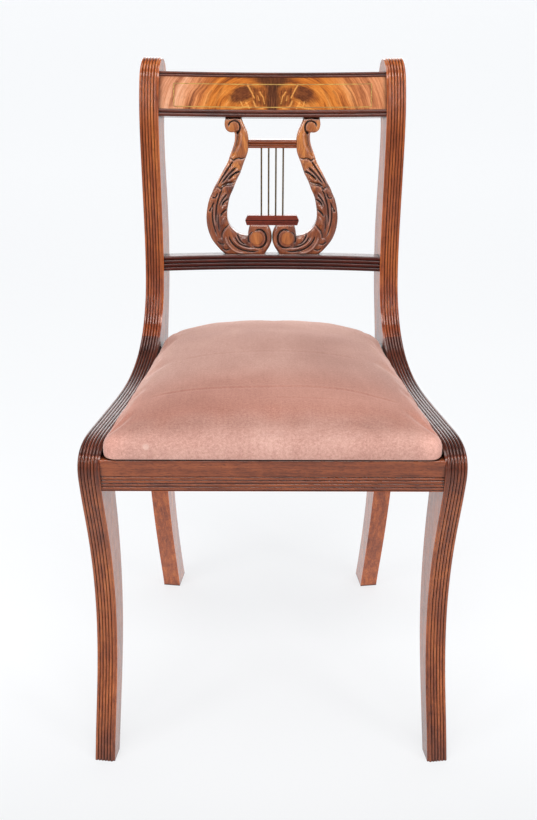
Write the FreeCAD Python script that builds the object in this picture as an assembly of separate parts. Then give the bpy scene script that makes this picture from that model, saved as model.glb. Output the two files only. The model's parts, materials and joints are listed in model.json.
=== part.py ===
import FreeCAD, Part
import math
import os

# Lyre back dining chair, Regency pattern, mahogany with a drop-in seat.
# Millimetres, +Z up, +Y towards the back, the chair faces -Y.
# The origin is on the floor, under the centre of the chair's bounding box.

os.makedirs("parts", exist_ok=True)
V = FreeCAD.Vector

# ------------------------------------------------------------------ driving dimensions
HALF_FRONT = 233.5          # outer face of a side frame from the centre line, at the front corner
CONVERGE = 0.13257          # each side frame turns in towards the back by this angle (radians)
SIDE_W = 27.0               # thickness of a side frame, the width of its reeded face
REED_W = 4.08               # width of one reed on the side frames
REEDS = 6                   # reeds on each side frame, then a flat fillet on the inner side
REED_DEEP = 1.5
SKIN = 0.15                 # reeds are worked this far below the sawn edge

RAIL_BOTTOM = 398.0         # underside of the side rails
SEAT_TOP_OF_RAIL = 439.5    # the drop-in seat rests at this height
FRONT_RAIL_Y = 2.0
FRONT_RAIL_T = 22.0
REAR_RAIL_Y = 349.0
REAR_RAIL_T = 21.0

CREST_Y, CREST_Z = 384.6, 778.9      # front lower edge of the crest rail at the centre line
CREST_LEAN = math.radians(15.0)
CREST_H = 59.7
CREST_T = 19.0
CREST_R = 1020.0                     # radius of the rail in plan
VENEER = 0.9
STRING_W = 1.2
STRING_X = 136.5
STRING_Z0, STRING_Z1 = 12.7, 44.5

LOWER_Z0, LOWER_H = 561.5, 21.8
LOWER_Y = 380.0
LOWER_T = 16.0
LOWER_R = 1253.0

LYRE_Y = 382.0
LYRE_T = 13.0
LYRE_LEAN = math.radians(1.46)
STRING_DIA = 2.4

SEAT_GAP = 0.6              # between the covered seat and each side frame
SEAT_FRONT = 0.5
SEAT_BACK = 372.0
COVER_T = 1.2
COVER_Z0 = 439.9
SEAT_TOP = 489.0
FRAME_T = 14.0              # thickness of the loose seat's beech frame

CA, SA = math.cos(CONVERGE), math.sin(CONVERGE)

# ------------------------------------------------------------------ the side frame's outline
# (s, z): s runs back along the side frame from the front corner, z is the height.
# One smooth line: up the front of the sabre leg, over the knee, back along the
# top of the side rail, up the front of the back post and over its scrolled top.
FRONT = [(-25.0, -14.0), (-20.5, 0.0), (-12.9, 27.0), (-3.0, 58.0), (7.6, 90.0), (17.0, 122.5),
         (24.2, 156.0), (28.9, 190.0), (30.7, 227.0), (29.0, 265.0), (24.1, 304.0), (16.0, 344.0),
         (6.8, 383.0), (2.4, 405.0), (0.4, 421.0), (1.4, 431.0), (4.4, 438.5), (8.6, 443.8),
         (15.0, 448.4), (24.0, 451.9), (36.0, 453.8), (54.0, 453.9), (81.0, 451.8), (110.0, 449.3),
         (141.0, 446.7), (173.5, 444.2), (204.0, 442.7), (232.0, 442.7), (256.5, 444.9),
         (276.5, 448.9), (294.0, 454.3), (309.0, 460.9), (321.0, 468.5), (332.0, 477.2),
         (346.0, 492.6), (354.0, 505.0), (360.5, 518.0), (365.5, 531.5), (369.0, 546.0),
         (372.6, 572.0), (374.4, 600.0), (375.0, 630.0), (374.4, 664.0), (373.9, 700.0),
         (373.6, 735.0), (374.0, 762.0), (375.6, 785.0), (378.8, 806.0), (382.8, 823.0),
         (387.4, 836.6), (393.6, 846.0), (402.6, 852.6), (414.6, 855.5), (425.6, 852.4),
         (432.6, 844.6), (436.4, 833.0), (436.6, 820.0)]
SEAM_KNEE = (8.6, 443.8)        # joint between the leg and the side rail, on the top line
SEAM_KNEE_LOW = (60.0, RAIL_BOTTOM)
SEAM_POST = (332.0, 477.2)      # joint between the side rail and the back stile
SEAM_POST_LOW = (329.5, RAIL_BOTTOM)
LEG_BACK = [(5.0, 0.0), (12.6, 21.0), (20.8, 44.0), (39.0, 97.0), (54.8, 151.0), (63.0, 194.0),
            (66.9, 230.0), (68.3, 268.0), (67.6, 300.0), (65.6, 330.0), (62.2, 362.0), (60.0, 398.0)]
STILE_BACK = [(436.6, 820.0), (431.5, 804.0), (422.5, 790.0), (414.0, 778.0), (410.0, 765.0), (408.6, 748.0),
              (408.8, 731.0), (409.8, 709.0), (411.6, 687.0), (413.5, 665.0), (415.0, 643.0),
              (415.6, 622.0), (414.8, 598.0), (412.4, 570.0), (408.8, 544.0), (403.4, 520.0),
              (397.0, 498.0), (390.0, 474.0), (383.0, 446.0), (378.0, 415.0), (375.2, 370.0),
              (375.0, 320.0), (378.0, 270.0), (383.0, 225.0), (389.8, 182.0), (393.7, 161.0),
              (398.4, 140.0), (403.8, 117.5), (410.0, 94.5), (417.0, 71.0), (424.6, 46.5),
              (433.4, 20.4), (441.0, 0.0)]
REAR_LEG_FRONT = [(401.0, 0.0), (394.4, 25.0), (387.2, 47.7), (379.9, 71.2), (372.8, 94.7),
                  (366.1, 117.8), (360.1, 140.3), (354.7, 162.0), (349.8, 183.2), (345.2, 204.2),
                  (338.4, 245.0), (333.4, 290.0), (330.6, 340.0), (329.5, 398.0)]

Y_MIN = -20.5 * CA - SIDE_W * SA + 0.74
Y_MAX = 441.0 * CA
YC = 0.5 * (Y_MIN + Y_MAX)      # shifts the chair so that the origin is under its middle

# rigid placement of a side frame: local x is s, local y is the depth in from the
# outer face, local z is the height
SIDE_PLACE = FreeCAD.Placement(FreeCAD.Matrix(-SA, -CA, 0, HALF_FRONT,
                                              CA, -SA, 0, -YC,
                                              0, 0, 1, 0,
                                              0, 0, 0, 1))


def placed(shape):
    out = shape.copy()
    out.Placement = SIDE_PLACE.multiply(out.Placement)
    return out


def mirrored(shape):
    return shape.mirror(V(0, 0, 0), V(1, 0, 0))


def spline(points, t=0.0):
    c = Part.BSplineCurve()
    c.interpolate([V(s, t, z) for s, z in points])
    return c


def face_of(edges):
    return Part.Face(Part.Wire(edges))


def line(a, b, t=0.0):
    return Part.LineSegment(V(a[0], t, a[1]), V(b[0], t, b[1])).toShape()


def box(x0, x1, y0, y1, z0, z1):
    return Part.makeBox(x1 - x0, y1 - y0, z1 - z0, V(x0, y0, z0))


def only_solid(shape):
    solids = sorted(shape.Solids, key=lambda s: -s.Volume)
    return solids[0]


def x_in(y, out=0.0):
    """x of a side frame's inner face at depth y, moved outwards by out."""
    return (HALF_FRONT * CA - SIDE_W + out - y * SA) / CA


def region(out=0.0, z0=-50.0, z1=950.0):
    """The space between the two side frames' inner faces, as one prism."""
    y0, y1 = -120.0, 560.0
    pts = [(-x_in(y0, out), y0), (x_in(y0, out), y0), (x_in(y1, out), y1), (-x_in(y1, out), y1)]
    w = Part.makePolygon([V(x, y - YC, z0) for x, y in pts + pts[:1]])
    return Part.Face(w).extrude(V(0, 0, z1 - z0))


def gbox(x0, x1, y0, y1, z0, z1):
    """A box in the chair's measuring frame, with y from the front corner."""
    return box(x0, x1, y0 - YC, y1 - YC, z0, z1)


# ------------------------------------------------------------------ side frames
front_curve = spline(FRONT)


def cut_curve(a, b):
    c = front_curve.copy()
    c.segment(c.parameter(V(a[0], 0, a[1])), c.parameter(V(b[0], 0, b[1])))
    return c


def param_at(i):
    return front_curve.parameter(V(FRONT[i][0], 0, FRONT[i][1]))


def reed_tool(u0, u1):
    """Everything above the reeded face, swept along the front line."""
    path = front_curve.copy()
    path.segment(u0, u1)
    p = path.value(path.FirstParameter)
    tan = path.tangent(path.FirstParameter)[0]
    out = V(-tan.z, 0, tan.x)           # away from the wood

    def at(t, d):
        return V(p.x, t, p.z) + out * d

    e = []
    low = -SKIN - REED_DEEP
    e.append(Part.LineSegment(at(-1.5, 3.0), at(-1.5, low)).toShape())
    e.append(Part.LineSegment(at(-1.5, low), at(0.0, low)).toShape())
    for k in range(REEDS):
        t0 = k * REED_W
        e.append(Part.Arc(at(t0, low), at(t0 + REED_W / 2, -SKIN), at(t0 + REED_W, low)).toShape())
    t1 = REEDS * REED_W
    e.append(Part.LineSegment(at(t1, low), at(SIDE_W + 1.5, low)).toShape())
    e.append(Part.LineSegment(at(SIDE_W + 1.5, low), at(SIDE_W + 1.5, 3.0)).toShape())
    e.append(Part.LineSegment(at(SIDE_W + 1.5, 3.0), at(-1.5, 3.0)).toShape())
    section = Part.Wire(e)
    maker = Part.BRepOffsetAPI.MakePipeShell(Part.Wire([path.toShape()]))
    maker.setBiNormalMode(V(0, 1, 0))
    maker.add(section)
    maker.build()
    maker.makeSolid()
    return maker.shape()


def extrude_side(face):
    return face.extrude(V(0, SIDE_W, 0))


i_knee = FRONT.index(SEAM_KNEE)
i_post = FRONT.index(SEAM_POST)
u_knee, u_post = param_at(i_knee), param_at(i_post)

# front leg: foot to knee
leg_face = face_of([cut_curve(FRONT[1], SEAM_KNEE).toShape(), line(SEAM_KNEE, SEAM_KNEE_LOW),
                    spline(LEG_BACK[::-1]).toShape(), line(LEG_BACK[0], FRONT[1])])
leg = extrude_side(leg_face).cut(reed_tool(param_at(0), param_at(i_knee + 1)))

# side rail: knee to back stile
rail_face = face_of([cut_curve(SEAM_KNEE, SEAM_POST).toShape(), line(SEAM_POST, SEAM_POST_LOW),
                     line(SEAM_POST_LOW, SEAM_KNEE_LOW), line(SEAM_KNEE_LOW, SEAM_KNEE)])
rail = extrude_side(rail_face).cut(reed_tool(param_at(i_knee - 1), param_at(i_post + 1)))
rail_tenon = box(328.0, 355.0, 8.0, 17.0, 408.0, 458.0)
rail_tenon_free = rail_tenon.common(box(320.0, 400.0, 0.0, SIDE_W, 380.0, 480.0))

# back stile: one plank from the scrolled top to the rear foot
stile_face = face_of([cut_curve(SEAM_POST, FRONT[-1]).toShape(), spline(STILE_BACK).toShape(),
                      line(STILE_BACK[-1], REAR_LEG_FRONT[0]), spline(REAR_LEG_FRONT).toShape(),
                      line(REAR_LEG_FRONT[-1], SEAM_POST)])
stile = extrude_side(stile_face).cut(reed_tool(param_at(i_post - 1), front_curve.LastParameter))
stile = only_solid(stile).cut(rail_tenon_free)
rail = only_solid(rail)
rail = rail.fuse(rail_tenon_free.cut(stile)).removeSplitter()

# two dowels across each knee joint, square to the seam
seam_dir = V(SEAM_KNEE_LOW[0] - SEAM_KNEE[0], 0, SEAM_KNEE_LOW[1] - SEAM_KNEE[1])
seam_len = seam_dir.Length
seam_dir.normalize()
seam_nrm = V(-seam_dir.z, 0, seam_dir.x)
dowels_local = []
for frac, ln in ((0.36, 30.0), (0.72, 34.0)):
    c = V(SEAM_KNEE[0], 13.5, SEAM_KNEE[1]) + seam_dir * (seam_len * frac)
    dowels_local.append(Part.makeCylinder(4.0, ln, c - seam_nrm * (ln / 2), seam_nrm))
for d in dowels_local:
    leg = leg.cut(d)
    rail = rail.cut(d)
leg = only_solid(leg)
rail = only_solid(rail)

leg_r, rail_r, stile_r = placed(leg), placed(rail), placed(stile)
dowels_r = [placed(d) for d in dowels_local]

# ------------------------------------------------------------------ front and rear seat rails
fy0, fy1 = FRONT_RAIL_Y, FRONT_RAIL_Y + FRONT_RAIL_T
reed_f = 4.55
arris = 2.2                 # the rail's top front edge is rounded over
e = [Part.LineSegment(V(0, fy1, RAIL_BOTTOM), V(0, fy1, SEAT_TOP_OF_RAIL)).toShape(),
     Part.LineSegment(V(0, fy1, SEAT_TOP_OF_RAIL), V(0, fy0 + arris, SEAT_TOP_OF_RAIL)).toShape(),
     Part.Arc(V(0, fy0 + arris, SEAT_TOP_OF_RAIL), V(0, fy0 + arris * 0.2929, SEAT_TOP_OF_RAIL - arris * 0.2929), V(0, fy0, SEAT_TOP_OF_RAIL - arris)).toShape(),
     Part.LineSegment(V(0, fy0, SEAT_TOP_OF_RAIL - arris), V(0, fy0, 418.2)).toShape(),
     Part.LineSegment(V(0, fy0, 418.2), V(0, fy0 + 1.5, 417.38)).toShape()]
z = 417.38
for k in range(4):
    e.append(Part.Arc(V(0, fy0 + 1.5, z), V(0, fy0, z - reed_f / 2), V(0, fy0 + 1.5, z - reed_f)).toShape())
    z -= reed_f
e.append(Part.LineSegment(V(0, fy0 + 1.5, z), V(0, fy0 + 0.6, z - 0.6)).toShape())
e.append(Part.LineSegment(V(0, fy0 + 0.6, z - 0.6), V(0, fy0 + 0.6, RAIL_BOTTOM)).toShape())
e.append(Part.LineSegment(V(0, fy0 + 0.6, RAIL_BOTTOM), V(0, fy1, RAIL_BOTTOM)).toShape())
front_rail = Part.Face(Part.Wire(e)).extrude(V(480, 0, 0))
front_rail.translate(V(-240, -YC, 0))
front_rail = front_rail.common(region(0.0))
front_tenon = gbox(-240, 240, 8, 18, 405, 433).common(region(8.0))
front_rail = front_rail.fuse(front_tenon).removeSplitter()

rear_rail = gbox(-240, 240, REAR_RAIL_Y, REAR_RAIL_Y + REAR_RAIL_T, RAIL_BOTTOM, SEAT_TOP_OF_RAIL).common(region(0.0))
rear_tenon = gbox(-240, 240, REAR_RAIL_Y + 6, REAR_RAIL_Y + 15, 404, 433).common(region(8.0))
rear_rail = rear_rail.fuse(rear_tenon).removeSplitter()
leg_r = leg_r.cut(front_tenon)
rail_r = rail_r.cut(front_tenon)
stile_r = stile_r.cut(rear_tenon)


# ------------------------------------------------------------------ crest rail
def revolve(edges_rz, radius, half=11.0):
    """Turn a section (r, z) about the vertical axis in front of the chair back:
    the section's r equals radius on the front face at the centre line."""
    f = Part.Face(Part.Wire(edges_rz))
    f.rotate(V(0, 0, 0), V(0, 0, 1), -half)
    s = f.revolve(V(0, 0, 0), V(0, 0, 1), 2 * half)
    s.translate(V(0, -radius, 0))
    return s


def sec(points):
    """Closed section in the y-z plane; a point with three numbers is the middle of an arc."""
    edges = []
    n = len(points)
    i = 0
    while i < n:
        a = points[i]
        b = points[(i + 1) % n]
        if len(b) == 3:
            c = points[(i + 2) % n]
            arc = Part.Arc(V(0, a[0], a[1]), V(0, b[0], b[1]), V(0, c[0], c[1]))
            curve = Part.BSplineCurve()
            curve.interpolate(arc.discretize(5))
            edges.append(curve.toShape())
            i += 2
        else:
            edges.append(Part.LineSegment(V(0, a[0], a[1]), V(0, b[0], b[1])).toShape())
            i += 1
    return edges


CREST_PLACE = FreeCAD.Placement(V(0, CREST_Y - YC, CREST_Z), FreeCAD.Rotation(V(1, 0, 0), -math.degrees(CREST_LEAN)))


def crest_place(s):
    out = s.copy()
    out.Placement = CREST_PLACE.multiply(out.Placement)
    return out


R = CREST_R
top = CREST_H
TOPM = 6.8                  # height of the two reeds along the top
LOWM = 10.0                 # height of the two reeds along the bottom
core_sec = sec([(R, 0.0), (R - 1.4, LOWM * 0.25, 1), (R, LOWM / 2), (R - 1.4, LOWM * 0.75, 1), (R, LOWM),
                (R + VENEER, LOWM), (R + VENEER, top - TOPM), (R, top - TOPM),
                (R - 1.1, top - TOPM * 0.75, 1), (R, top - TOPM / 2), (R - 1.1, top - TOPM * 0.25, 1), (R, top),
                (R + CREST_T, top), (R + CREST_T, 0.0)])
crest_core = crest_place(revolve(core_sec, R)).common(region(0.0))
crest_tenon = crest_place(revolve(sec([(R + 5, 12), (R + 5, 48), (R + 15, 48), (R + 15, 12)]), R)).common(region(12.0))
crest = crest_core.fuse(crest_tenon).removeSplitter()
stile_r = stile_r.cut(crest_tenon)

skin = revolve(sec([(R, LOWM), (R, top - TOPM), (R + VENEER, top - TOPM), (R + VENEER, LOWM)]), R)
sx, z0, z1, w = STRING_X, STRING_Z0, STRING_Z1, STRING_W
outer_p = box(-sx, sx, -60, 60, z0, z1)
inner_p = box(-sx + w, sx - w, -60, 60, z0 + w, z1 - w)
panel = crest_place(skin.common(inner_p))
stringing = crest_place(skin.common(outer_p).cut(inner_p))
border = crest_place(skin.cut(outer_p)).common(region(0.0))

# ------------------------------------------------------------------ lower back rail
R2 = LOWER_R
q = LOWER_H / 4.0
pts = [(R2 + 1.6, 0.0)]
for k in range(4):
    pts.append((R2, (k + 0.5) * q, 1))
    pts.append((R2 + 1.6, (k + 1) * q))
pts += [(R2 + LOWER_T, LOWER_H), (R2 + LOWER_T, 0.0)]
lower = revolve(sec(pts), R2)
lower.translate(V(0, LOWER_Y - YC, LOWER_Z0))
lower = lower.common(region(0.0))
lower_tenon = revolve(sec([(R2 + 4, 3.5), (R2 + 4, 18), (R2 + 12, 18), (R2 + 12, 3.5)]), R2)
lower_tenon.translate(V(0, LOWER_Y - YC, LOWER_Z0))
lower_tenon = lower_tenon.common(region(11.0))
lower = lower.fuse(lower_tenon).removeSplitter()
stile_r = stile_r.cut(lower_tenon)

# ------------------------------------------------------------------ lyre
# (x, z) on the lyre's own front plane, right-hand arm, z from the lower rail's top
LZ = LOWER_Z0 + LOWER_H     # 583.3
ARM_OUT = [(68.0, 800.0), (67.0, 784.0), (65.8, 774.0), (62.6, 764.0), (58.4, 758.4), (54.6, 755.4), (53.4, 751.0),
           (54.0, 737.5), (60.8, 721.0), (71.2, 704.5), (81.0, 687.0), (88.3, 671.5), (93.2, 655.0),
           (94.6, 641.5), (93.0, 626.0), (87.0, 610.6), (77.5, 595.8), (66.5, LZ)]
ARM_IN = [(35.0, 612.4), (44.0, 613.0), (53.6, 618.2), (61.0, 628.6), (64.0, 645.5), (60.6, 666.0),
          (53.4, 684.6), (46.0, 699.5), (39.0, 720.0), (34.2, 738.0), (33.6, 752.0), (37.6, 765.0), (42.0, 778.0),
          (48.0, 800.0)]
VOL_C, VOL_R = (18.2, 609.6), 18.0
SCROLL_C, SCROLL_R = (53.8, 764.4), 7.2
LYRE_PLACE = FreeCAD.Placement(V(0, LYRE_Y - YC, LZ), FreeCAD.Rotation(V(1, 0, 0), -math.degrees(LYRE_LEAN)))


def lyre_place(s):
    out = s.copy()
    out.translate(V(0, 0, -LZ))
    out.Placement = LYRE_PLACE.multiply(out.Placement)
    return out


def disc(cx, cz, r, y0, y1):
    return Part.makeCylinder(r, y1 - y0, V(cx, y0, cz), V(0, 1, 0))


arm_face = face_of([spline(ARM_OUT).toShape(), line(ARM_OUT[-1], (10.6, LZ)), line((10.6, LZ), (8.6, 594.0)),
                    line((8.6, 594.0), (22.0, 609.0)), line((22.0, 609.0), ARM_IN[0]),
                    spline(ARM_IN).toShape(), line(ARM_IN[-1], ARM_OUT[0])])
arm = arm_face.extrude(V(0, LYRE_T, 0))
arm = arm.fuse([disc(VOL_C[0], VOL_C[1], VOL_R, 0.0, LYRE_T), disc(SCROLL_C[0], SCROLL_C[1], SCROLL_R, -1.2, LYRE_T),
                disc(21.6, 608.6, 7.6, -1.6, LYRE_T)])
arm = arm.common(box(0.0, 200.0, -10, 40, LZ, 820.0))
# the bridge stands on the volutes, so each volute's top is cut flat under it
BR_Z0, BR_Z1 = 626.8, 640.6
arm = arm.cut(box(-1, 40.0, -10, 40, BR_Z0, BR_Z0 + 6.0))
arm = lyre_place(only_solid(arm))
arm = only_solid(arm.cut(crest).cut(lower))
arm_top_tenon = crest_place(box(46.0, 58.0, 4.0, 12.0, -2.0, 9.0))
arm_foot_tenon = gbox(34.0, 52.0, LYRE_Y + 2.5, LYRE_Y + 9.5, LZ - 8.0, LZ + 1.0)
arm = only_solid(arm.fuse([arm_top_tenon, arm_foot_tenon]).removeSplitter())
crest = crest.cut(arm_top_tenon).cut(mirrored(arm_top_tenon))
crest = only_solid(crest)
lower = only_solid(lower.cut(arm_foot_tenon).cut(mirrored(arm_foot_tenon)))

# crossbar between the arms: a broad bead over two narrow ones
yz = [(3.2, 735.9), (1.9, 737.4, 1), (3.2, 738.9), (1.9, 740.4, 1), (3.2, 741.9), (0.7, 744.7, 1), (3.2, 747.5),
      (LYRE_T - 1.5, 747.5), (LYRE_T - 1.5, 735.9)]
yoke = Part.Face(Part.Wire(sec(yz))).extrude(V(90, 0, 0))
yoke.translate(V(-45, 0, 0))
yoke = lyre_place(yoke)
arm_l = mirrored(arm)
yoke = only_solid(yoke.cut(arm).cut(arm_l).common(gbox(-40, 40, 300, 460, 700, 780)))
yoke_pin = lyre_place(Part.makeCylinder(2.6, 84.0, V(-42.0, 7.2, 741.7), V(1, 0, 0)))
yoke = only_solid(yoke.fuse(yoke_pin).removeSplitter())
arm = only_solid(arm.cut(yoke_pin))

# bridge: a short bar with chamfered ends, a face that leans back over two narrow fillets
b = [(-36.6, BR_Z0), (36.6, BR_Z0), (38.8, 633.8), (35.4, BR_Z1), (-35.4, BR_Z1), (-38.8, 633.8)]
bridge = Part.Face(Part.makePolygon([V(x, -1.0, zz) for x, zz in b + b[:1]])).extrude(V(0, LYRE_T + 2.0, 0))
yz = [(0.4, BR_Z0), (0.4, 629.7), (1.3, 629.9), (1.3, 630.5), (0.4, 630.7), (0.4, 633.1), (1.3, 633.3), (1.3, 634.1), (0.5, 634.3),
      (2.2, BR_Z1), (LYRE_T - 0.4, BR_Z1), (LYRE_T - 0.4, BR_Z0)]
bridge = bridge.common(Part.Face(Part.makePolygon([V(-50, y_, zz) for y_, zz in yz + yz[:1]])).extrude(V(100, 0, 0)))
for sx_ in (-1, 1):
    bridge = bridge.fuse(Part.makeCylinder(2.4, 12.0, V(sx_ * 19.0, 6.5, BR_Z0 - 11.0), V(0, 0, 1)))
bridge = lyre_place(bridge.removeSplitter())
bridge_pin = lyre_place(Part.makeCylinder(2.4, 12.0, V(19.0, 6.5, BR_Z0 - 11.0), V(0, 0, 1)))
arm = only_solid(arm.cut(bridge_pin))
arm_l = mirrored(arm)

strings = []
for k in range(4):
    xs = (k - 1.5) * 10.3
    strings.append(lyre_place(Part.makeCylinder(STRING_DIA / 2, 104.0, V(xs, 6.4, 635.5), V(0, 0, 1))))
for s in strings:
    bridge = bridge.cut(s)
    yoke = yoke.cut(s)
bridge, yoke = only_solid(bridge), only_solid(yoke)

# ------------------------------------------------------------------ corner blocks and their screws
BL = 42.0


def prism(points, z0_, z1_):
    w_ = Part.makePolygon([V(x, y - YC, z0_) for x, y in points + points[:1]])
    return Part.Face(w_).extrude(V(0, 0, z1_ - z0_))


def screw(head, direction, length):
    d = V(*direction)
    d.normalize()
    p = V(head[0], head[1] - YC, head[2])
    s = Part.makeCone(4.0, 1.9, 2.6, p, d)
    s = s.fuse(Part.makeCylinder(1.9, length, p, d))
    return s.removeSplitter()


blocks, screws = {}, []
yf = fy1
nrm = (CA, SA, 0)
front_blk = prism([(x_in(yf), yf), (x_in(yf) - BL, yf), (x_in(yf + BL), yf + BL)], 404.0, 437.6)
yr = REAR_RAIL_Y
rear_blk = prism([(x_in(yr), yr), (x_in(yr) - BL, yr), (x_in(yr - BL), yr - BL)], 404.0, 437.6)
s1 = screw((x_in(yf) - 25.0, yf + 13.0, 413.0), (0, -1, 0), 24.0)
s2p = (x_in(yf + 26.0) - 13.0 * CA, yf + 26.0 - 13.0 * SA, 429.0)
s2 = screw(s2p, nrm, 24.0)
s3 = screw((x_in(yr) - 25.0, yr - 13.0, 413.0), (0, 1, 0), 24.0)
s4p = (x_in(yr - 26.0) - 13.0 * CA, yr - 26.0 - 13.0 * SA, 429.0)
s4 = screw(s4p, nrm, 24.0)


def pocket(p, direction):
    """Room behind the screw's head, out through the block's long face."""
    d = V(*direction)
    d.normalize()
    a = V(p[0], p[1] - YC, p[2])
    return Part.makeCylinder(4.3, 30.0, a, d * -1.0)


front_blk = front_blk.cut(s1).cut(s2)
front_blk = front_blk.cut(pocket((x_in(yf) - 25.0, yf + 13.0, 413.0), (0, -1, 0))).cut(pocket(s2p, nrm))
rear_blk = rear_blk.cut(s3).cut(s4)
rear_blk = rear_blk.cut(pocket((x_in(yr) - 25.0, yr - 13.0, 413.0), (0, 1, 0))).cut(pocket(s4p, nrm))
front_blk, rear_blk = only_solid(front_blk), only_solid(rear_blk)
front_rail = only_solid(front_rail.cut(s1).cut(mirrored(s1)))
rear_rail = only_solid(rear_rail.cut(s3).cut(mirrored(s3)))
rail_r = only_solid(rail_r.cut(s2).cut(s4))
leg_r = only_solid(leg_r.cut(s2))
stile_r = only_solid(stile_r.cut(s4))
screws = [s1, s2, s3, s4]
screws += [mirrored(s) for s in screws]


# ------------------------------------------------------------------ the drop-in seat
def seat_plan(inset, z_, r_front=16.0, r_back=52.0):
    """Outline of the loose seat, set in by inset, as a face at height z_."""
    yb0, yb1 = SEAT_FRONT + inset, SEAT_BACK - inset
    o = -SEAT_GAP - inset
    p = [(-x_in(yb0, o), yb0), (x_in(yb0, o), yb0), (x_in(yb1, o), yb1), (-x_in(yb1, o), yb1)]
    rr_ = [max(r_front - inset, 1.0), max(r_front - inset, 1.0), max(r_back - inset, 1.0), max(r_back - inset, 1.0)]
    edges, starts, ends = [], [], []
    n = 4
    for i in range(n):
        a, b_, c = V(p[i - 1][0], p[i - 1][1], 0), V(p[i][0], p[i][1], 0), V(p[(i + 1) % n][0], p[(i + 1) % n][1], 0)
        d1, d2 = (a - b_), (c - b_)
        d1.normalize()
        d2.normalize()
        ang = d1.getAngle(d2)
        t = rr_[i] / math.tan(ang / 2)
        q1, q2 = b_ + d1 * t, b_ + d2 * t
        bis = d1 + d2
        bis.normalize()
        cen = b_ + bis * (rr_[i] / math.sin(ang / 2))
        mid = cen - bis * rr_[i]
        off = V(0, -YC, z_)
        starts.append(q1 + off)
        ends.append(q2 + off)
        edges.append(Part.Arc(q1 + off, mid + off, q2 + off).toShape())
    out = []
    for i in range(n):
        out.append(edges[i])
        out.append(Part.LineSegment(ends[i], starts[(i + 1) % n]).toShape())
    return Part.Face(Part.Wire(out))


def seat_solid(inset, z0_, z1_, fillet):
    s = seat_plan(inset, z0_).extrude(V(0, 0, z1_ - z0_))
    if fillet:
        tops = [e_ for e_ in s.Edges if min(v.Z for v in e_.Vertexes) > z1_ - 0.01]
        s = s.makeFillet(fillet, tops)
    return s


FZ0 = COVER_Z0 + COVER_T            # underside of the loose frame
FZ1 = FZ0 + FRAME_T
outer = seat_solid(0.0, COVER_Z0, SEAT_TOP, 21.0 * 0.72)
inner = seat_solid(COVER_T, FZ0, SEAT_TOP - COVER_T, 21.0 * 0.72 - COVER_T)
margin = 34.0
cover = outer.cut(inner).cut(seat_solid(margin, COVER_Z0 - 1, FZ0 + 1, 0))
cover = only_solid(cover)

# beech frame, four rails with bridle tenons
plan_f = seat_solid(COVER_T, FZ0, FZ1, 0)
FW, BW, LW = 46.0, 44.0, 44.0
fr0, fr1 = SEAT_FRONT + FW, SEAT_BACK - BW
front_bar = plan_f.common(gbox(-260, 260, -20, fr0, FZ0, FZ1))
back_bar = plan_f.common(gbox(-260, 260, fr1, 420, FZ0, FZ1))
inner_edge = region(-SEAT_GAP - LW)
side_all = plan_f.cut(inner_edge)
mid_side = side_all.common(gbox(-260, 260, fr0, fr1, FZ0, FZ1))
tz0, tz1 = FZ0 + 4.5, FZ0 + 9.5
ten = side_all.common(gbox(-260, 260, fr0 - 24.0, fr1 + 22.0, tz0, tz1))
ten_in = region(-SEAT_GAP - 9.0)
ten = ten.common(ten_in)
front_bar = front_bar.cut(ten)
back_bar = back_bar.cut(ten)
sides = mid_side.fuse(ten).removeSplitter()
side_right_bar = only_solid(sides.common(gbox(0, 300, -50, 450, FZ0 - 1, FZ1 + 1)))
side_left_bar = mirrored(side_right_bar)
front_bar, back_bar = only_solid(front_bar), only_solid(back_bar)

# webbing: four straps front to back under four across
WT = 1.2
strap_plan = seat_solid(9.0, FZ1, FZ1 + 2 * WT, 0)
straps_y, straps_x = [], []
for xc in (-120.0, -40.0, 40.0, 120.0):
    straps_y.append(strap_plan.common(gbox(xc - 25, xc + 25, -20, 420, FZ1, FZ1 + WT)))
for yc in (66.0, 144.0, 222.0, 300.0):
    straps_x.append(strap_plan.common(gbox(-260, 260, yc - 25, yc + 25, FZ1 + WT, FZ1 + 2 * WT)))
straps_y = [only_solid(s) for s in straps_y]
straps_x = [only_solid(s) for s in straps_x]


def tack(x, y, z_, up):
    """A flat-headed tack: the head's inner face is at z_, the shank points the other way."""
    d = V(0, 0, -1) if up else V(0, 0, 1)
    h = Part.makeCylinder(3.2, 0.8, V(x, y - YC, z_), d * -1.0)
    s = Part.makeCylinder(0.9, 9.0, V(x, y - YC, z_ - (0.0 if up else 0.0)), d)
    return h.fuse(s).removeSplitter()


web_tacks = []
for xc in (-120.0, -40.0, 40.0, 120.0):
    for dx in (-15.0, 0.0, 15.0):
        web_tacks.append(tack(xc + dx, 26.0 + (4.0 if dx == 0 else 0.0), FZ1 + WT, True))
        if abs(xc + dx) < 122.0:
            web_tacks.append(tack(xc + dx, 350.0 - (4.0 if dx == 0 else 0.0), FZ1 + WT, True))
for yc in (66.0, 144.0, 222.0, 300.0):
    for dy in (-15.0, 0.0, 15.0):
        for sg in (-1, 1):
            xx = x_in(yc + dy, -SEAT_GAP - 22.0 - (4.0 if dy == 0 else 0.0))
            web_tacks.append(tack(sg * xx, yc + dy, FZ1 + 2 * WT, True))

tack_cut = Part.makeCompound(web_tacks)
straps_y = [only_solid(s.cut(tack_cut)) for s in straps_y]
straps_x = [only_solid(s.cut(tack_cut)) for s in straps_x]

HZ0 = FZ1 + 2 * WT + 0.9
hessian = seat_solid(4.0, HZ0, HZ0 + 0.7, 0)
pad = only_solid(inner.common(box(-400, 400, -400, 400, HZ0 + 0.7, SEAT_TOP)))

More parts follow.
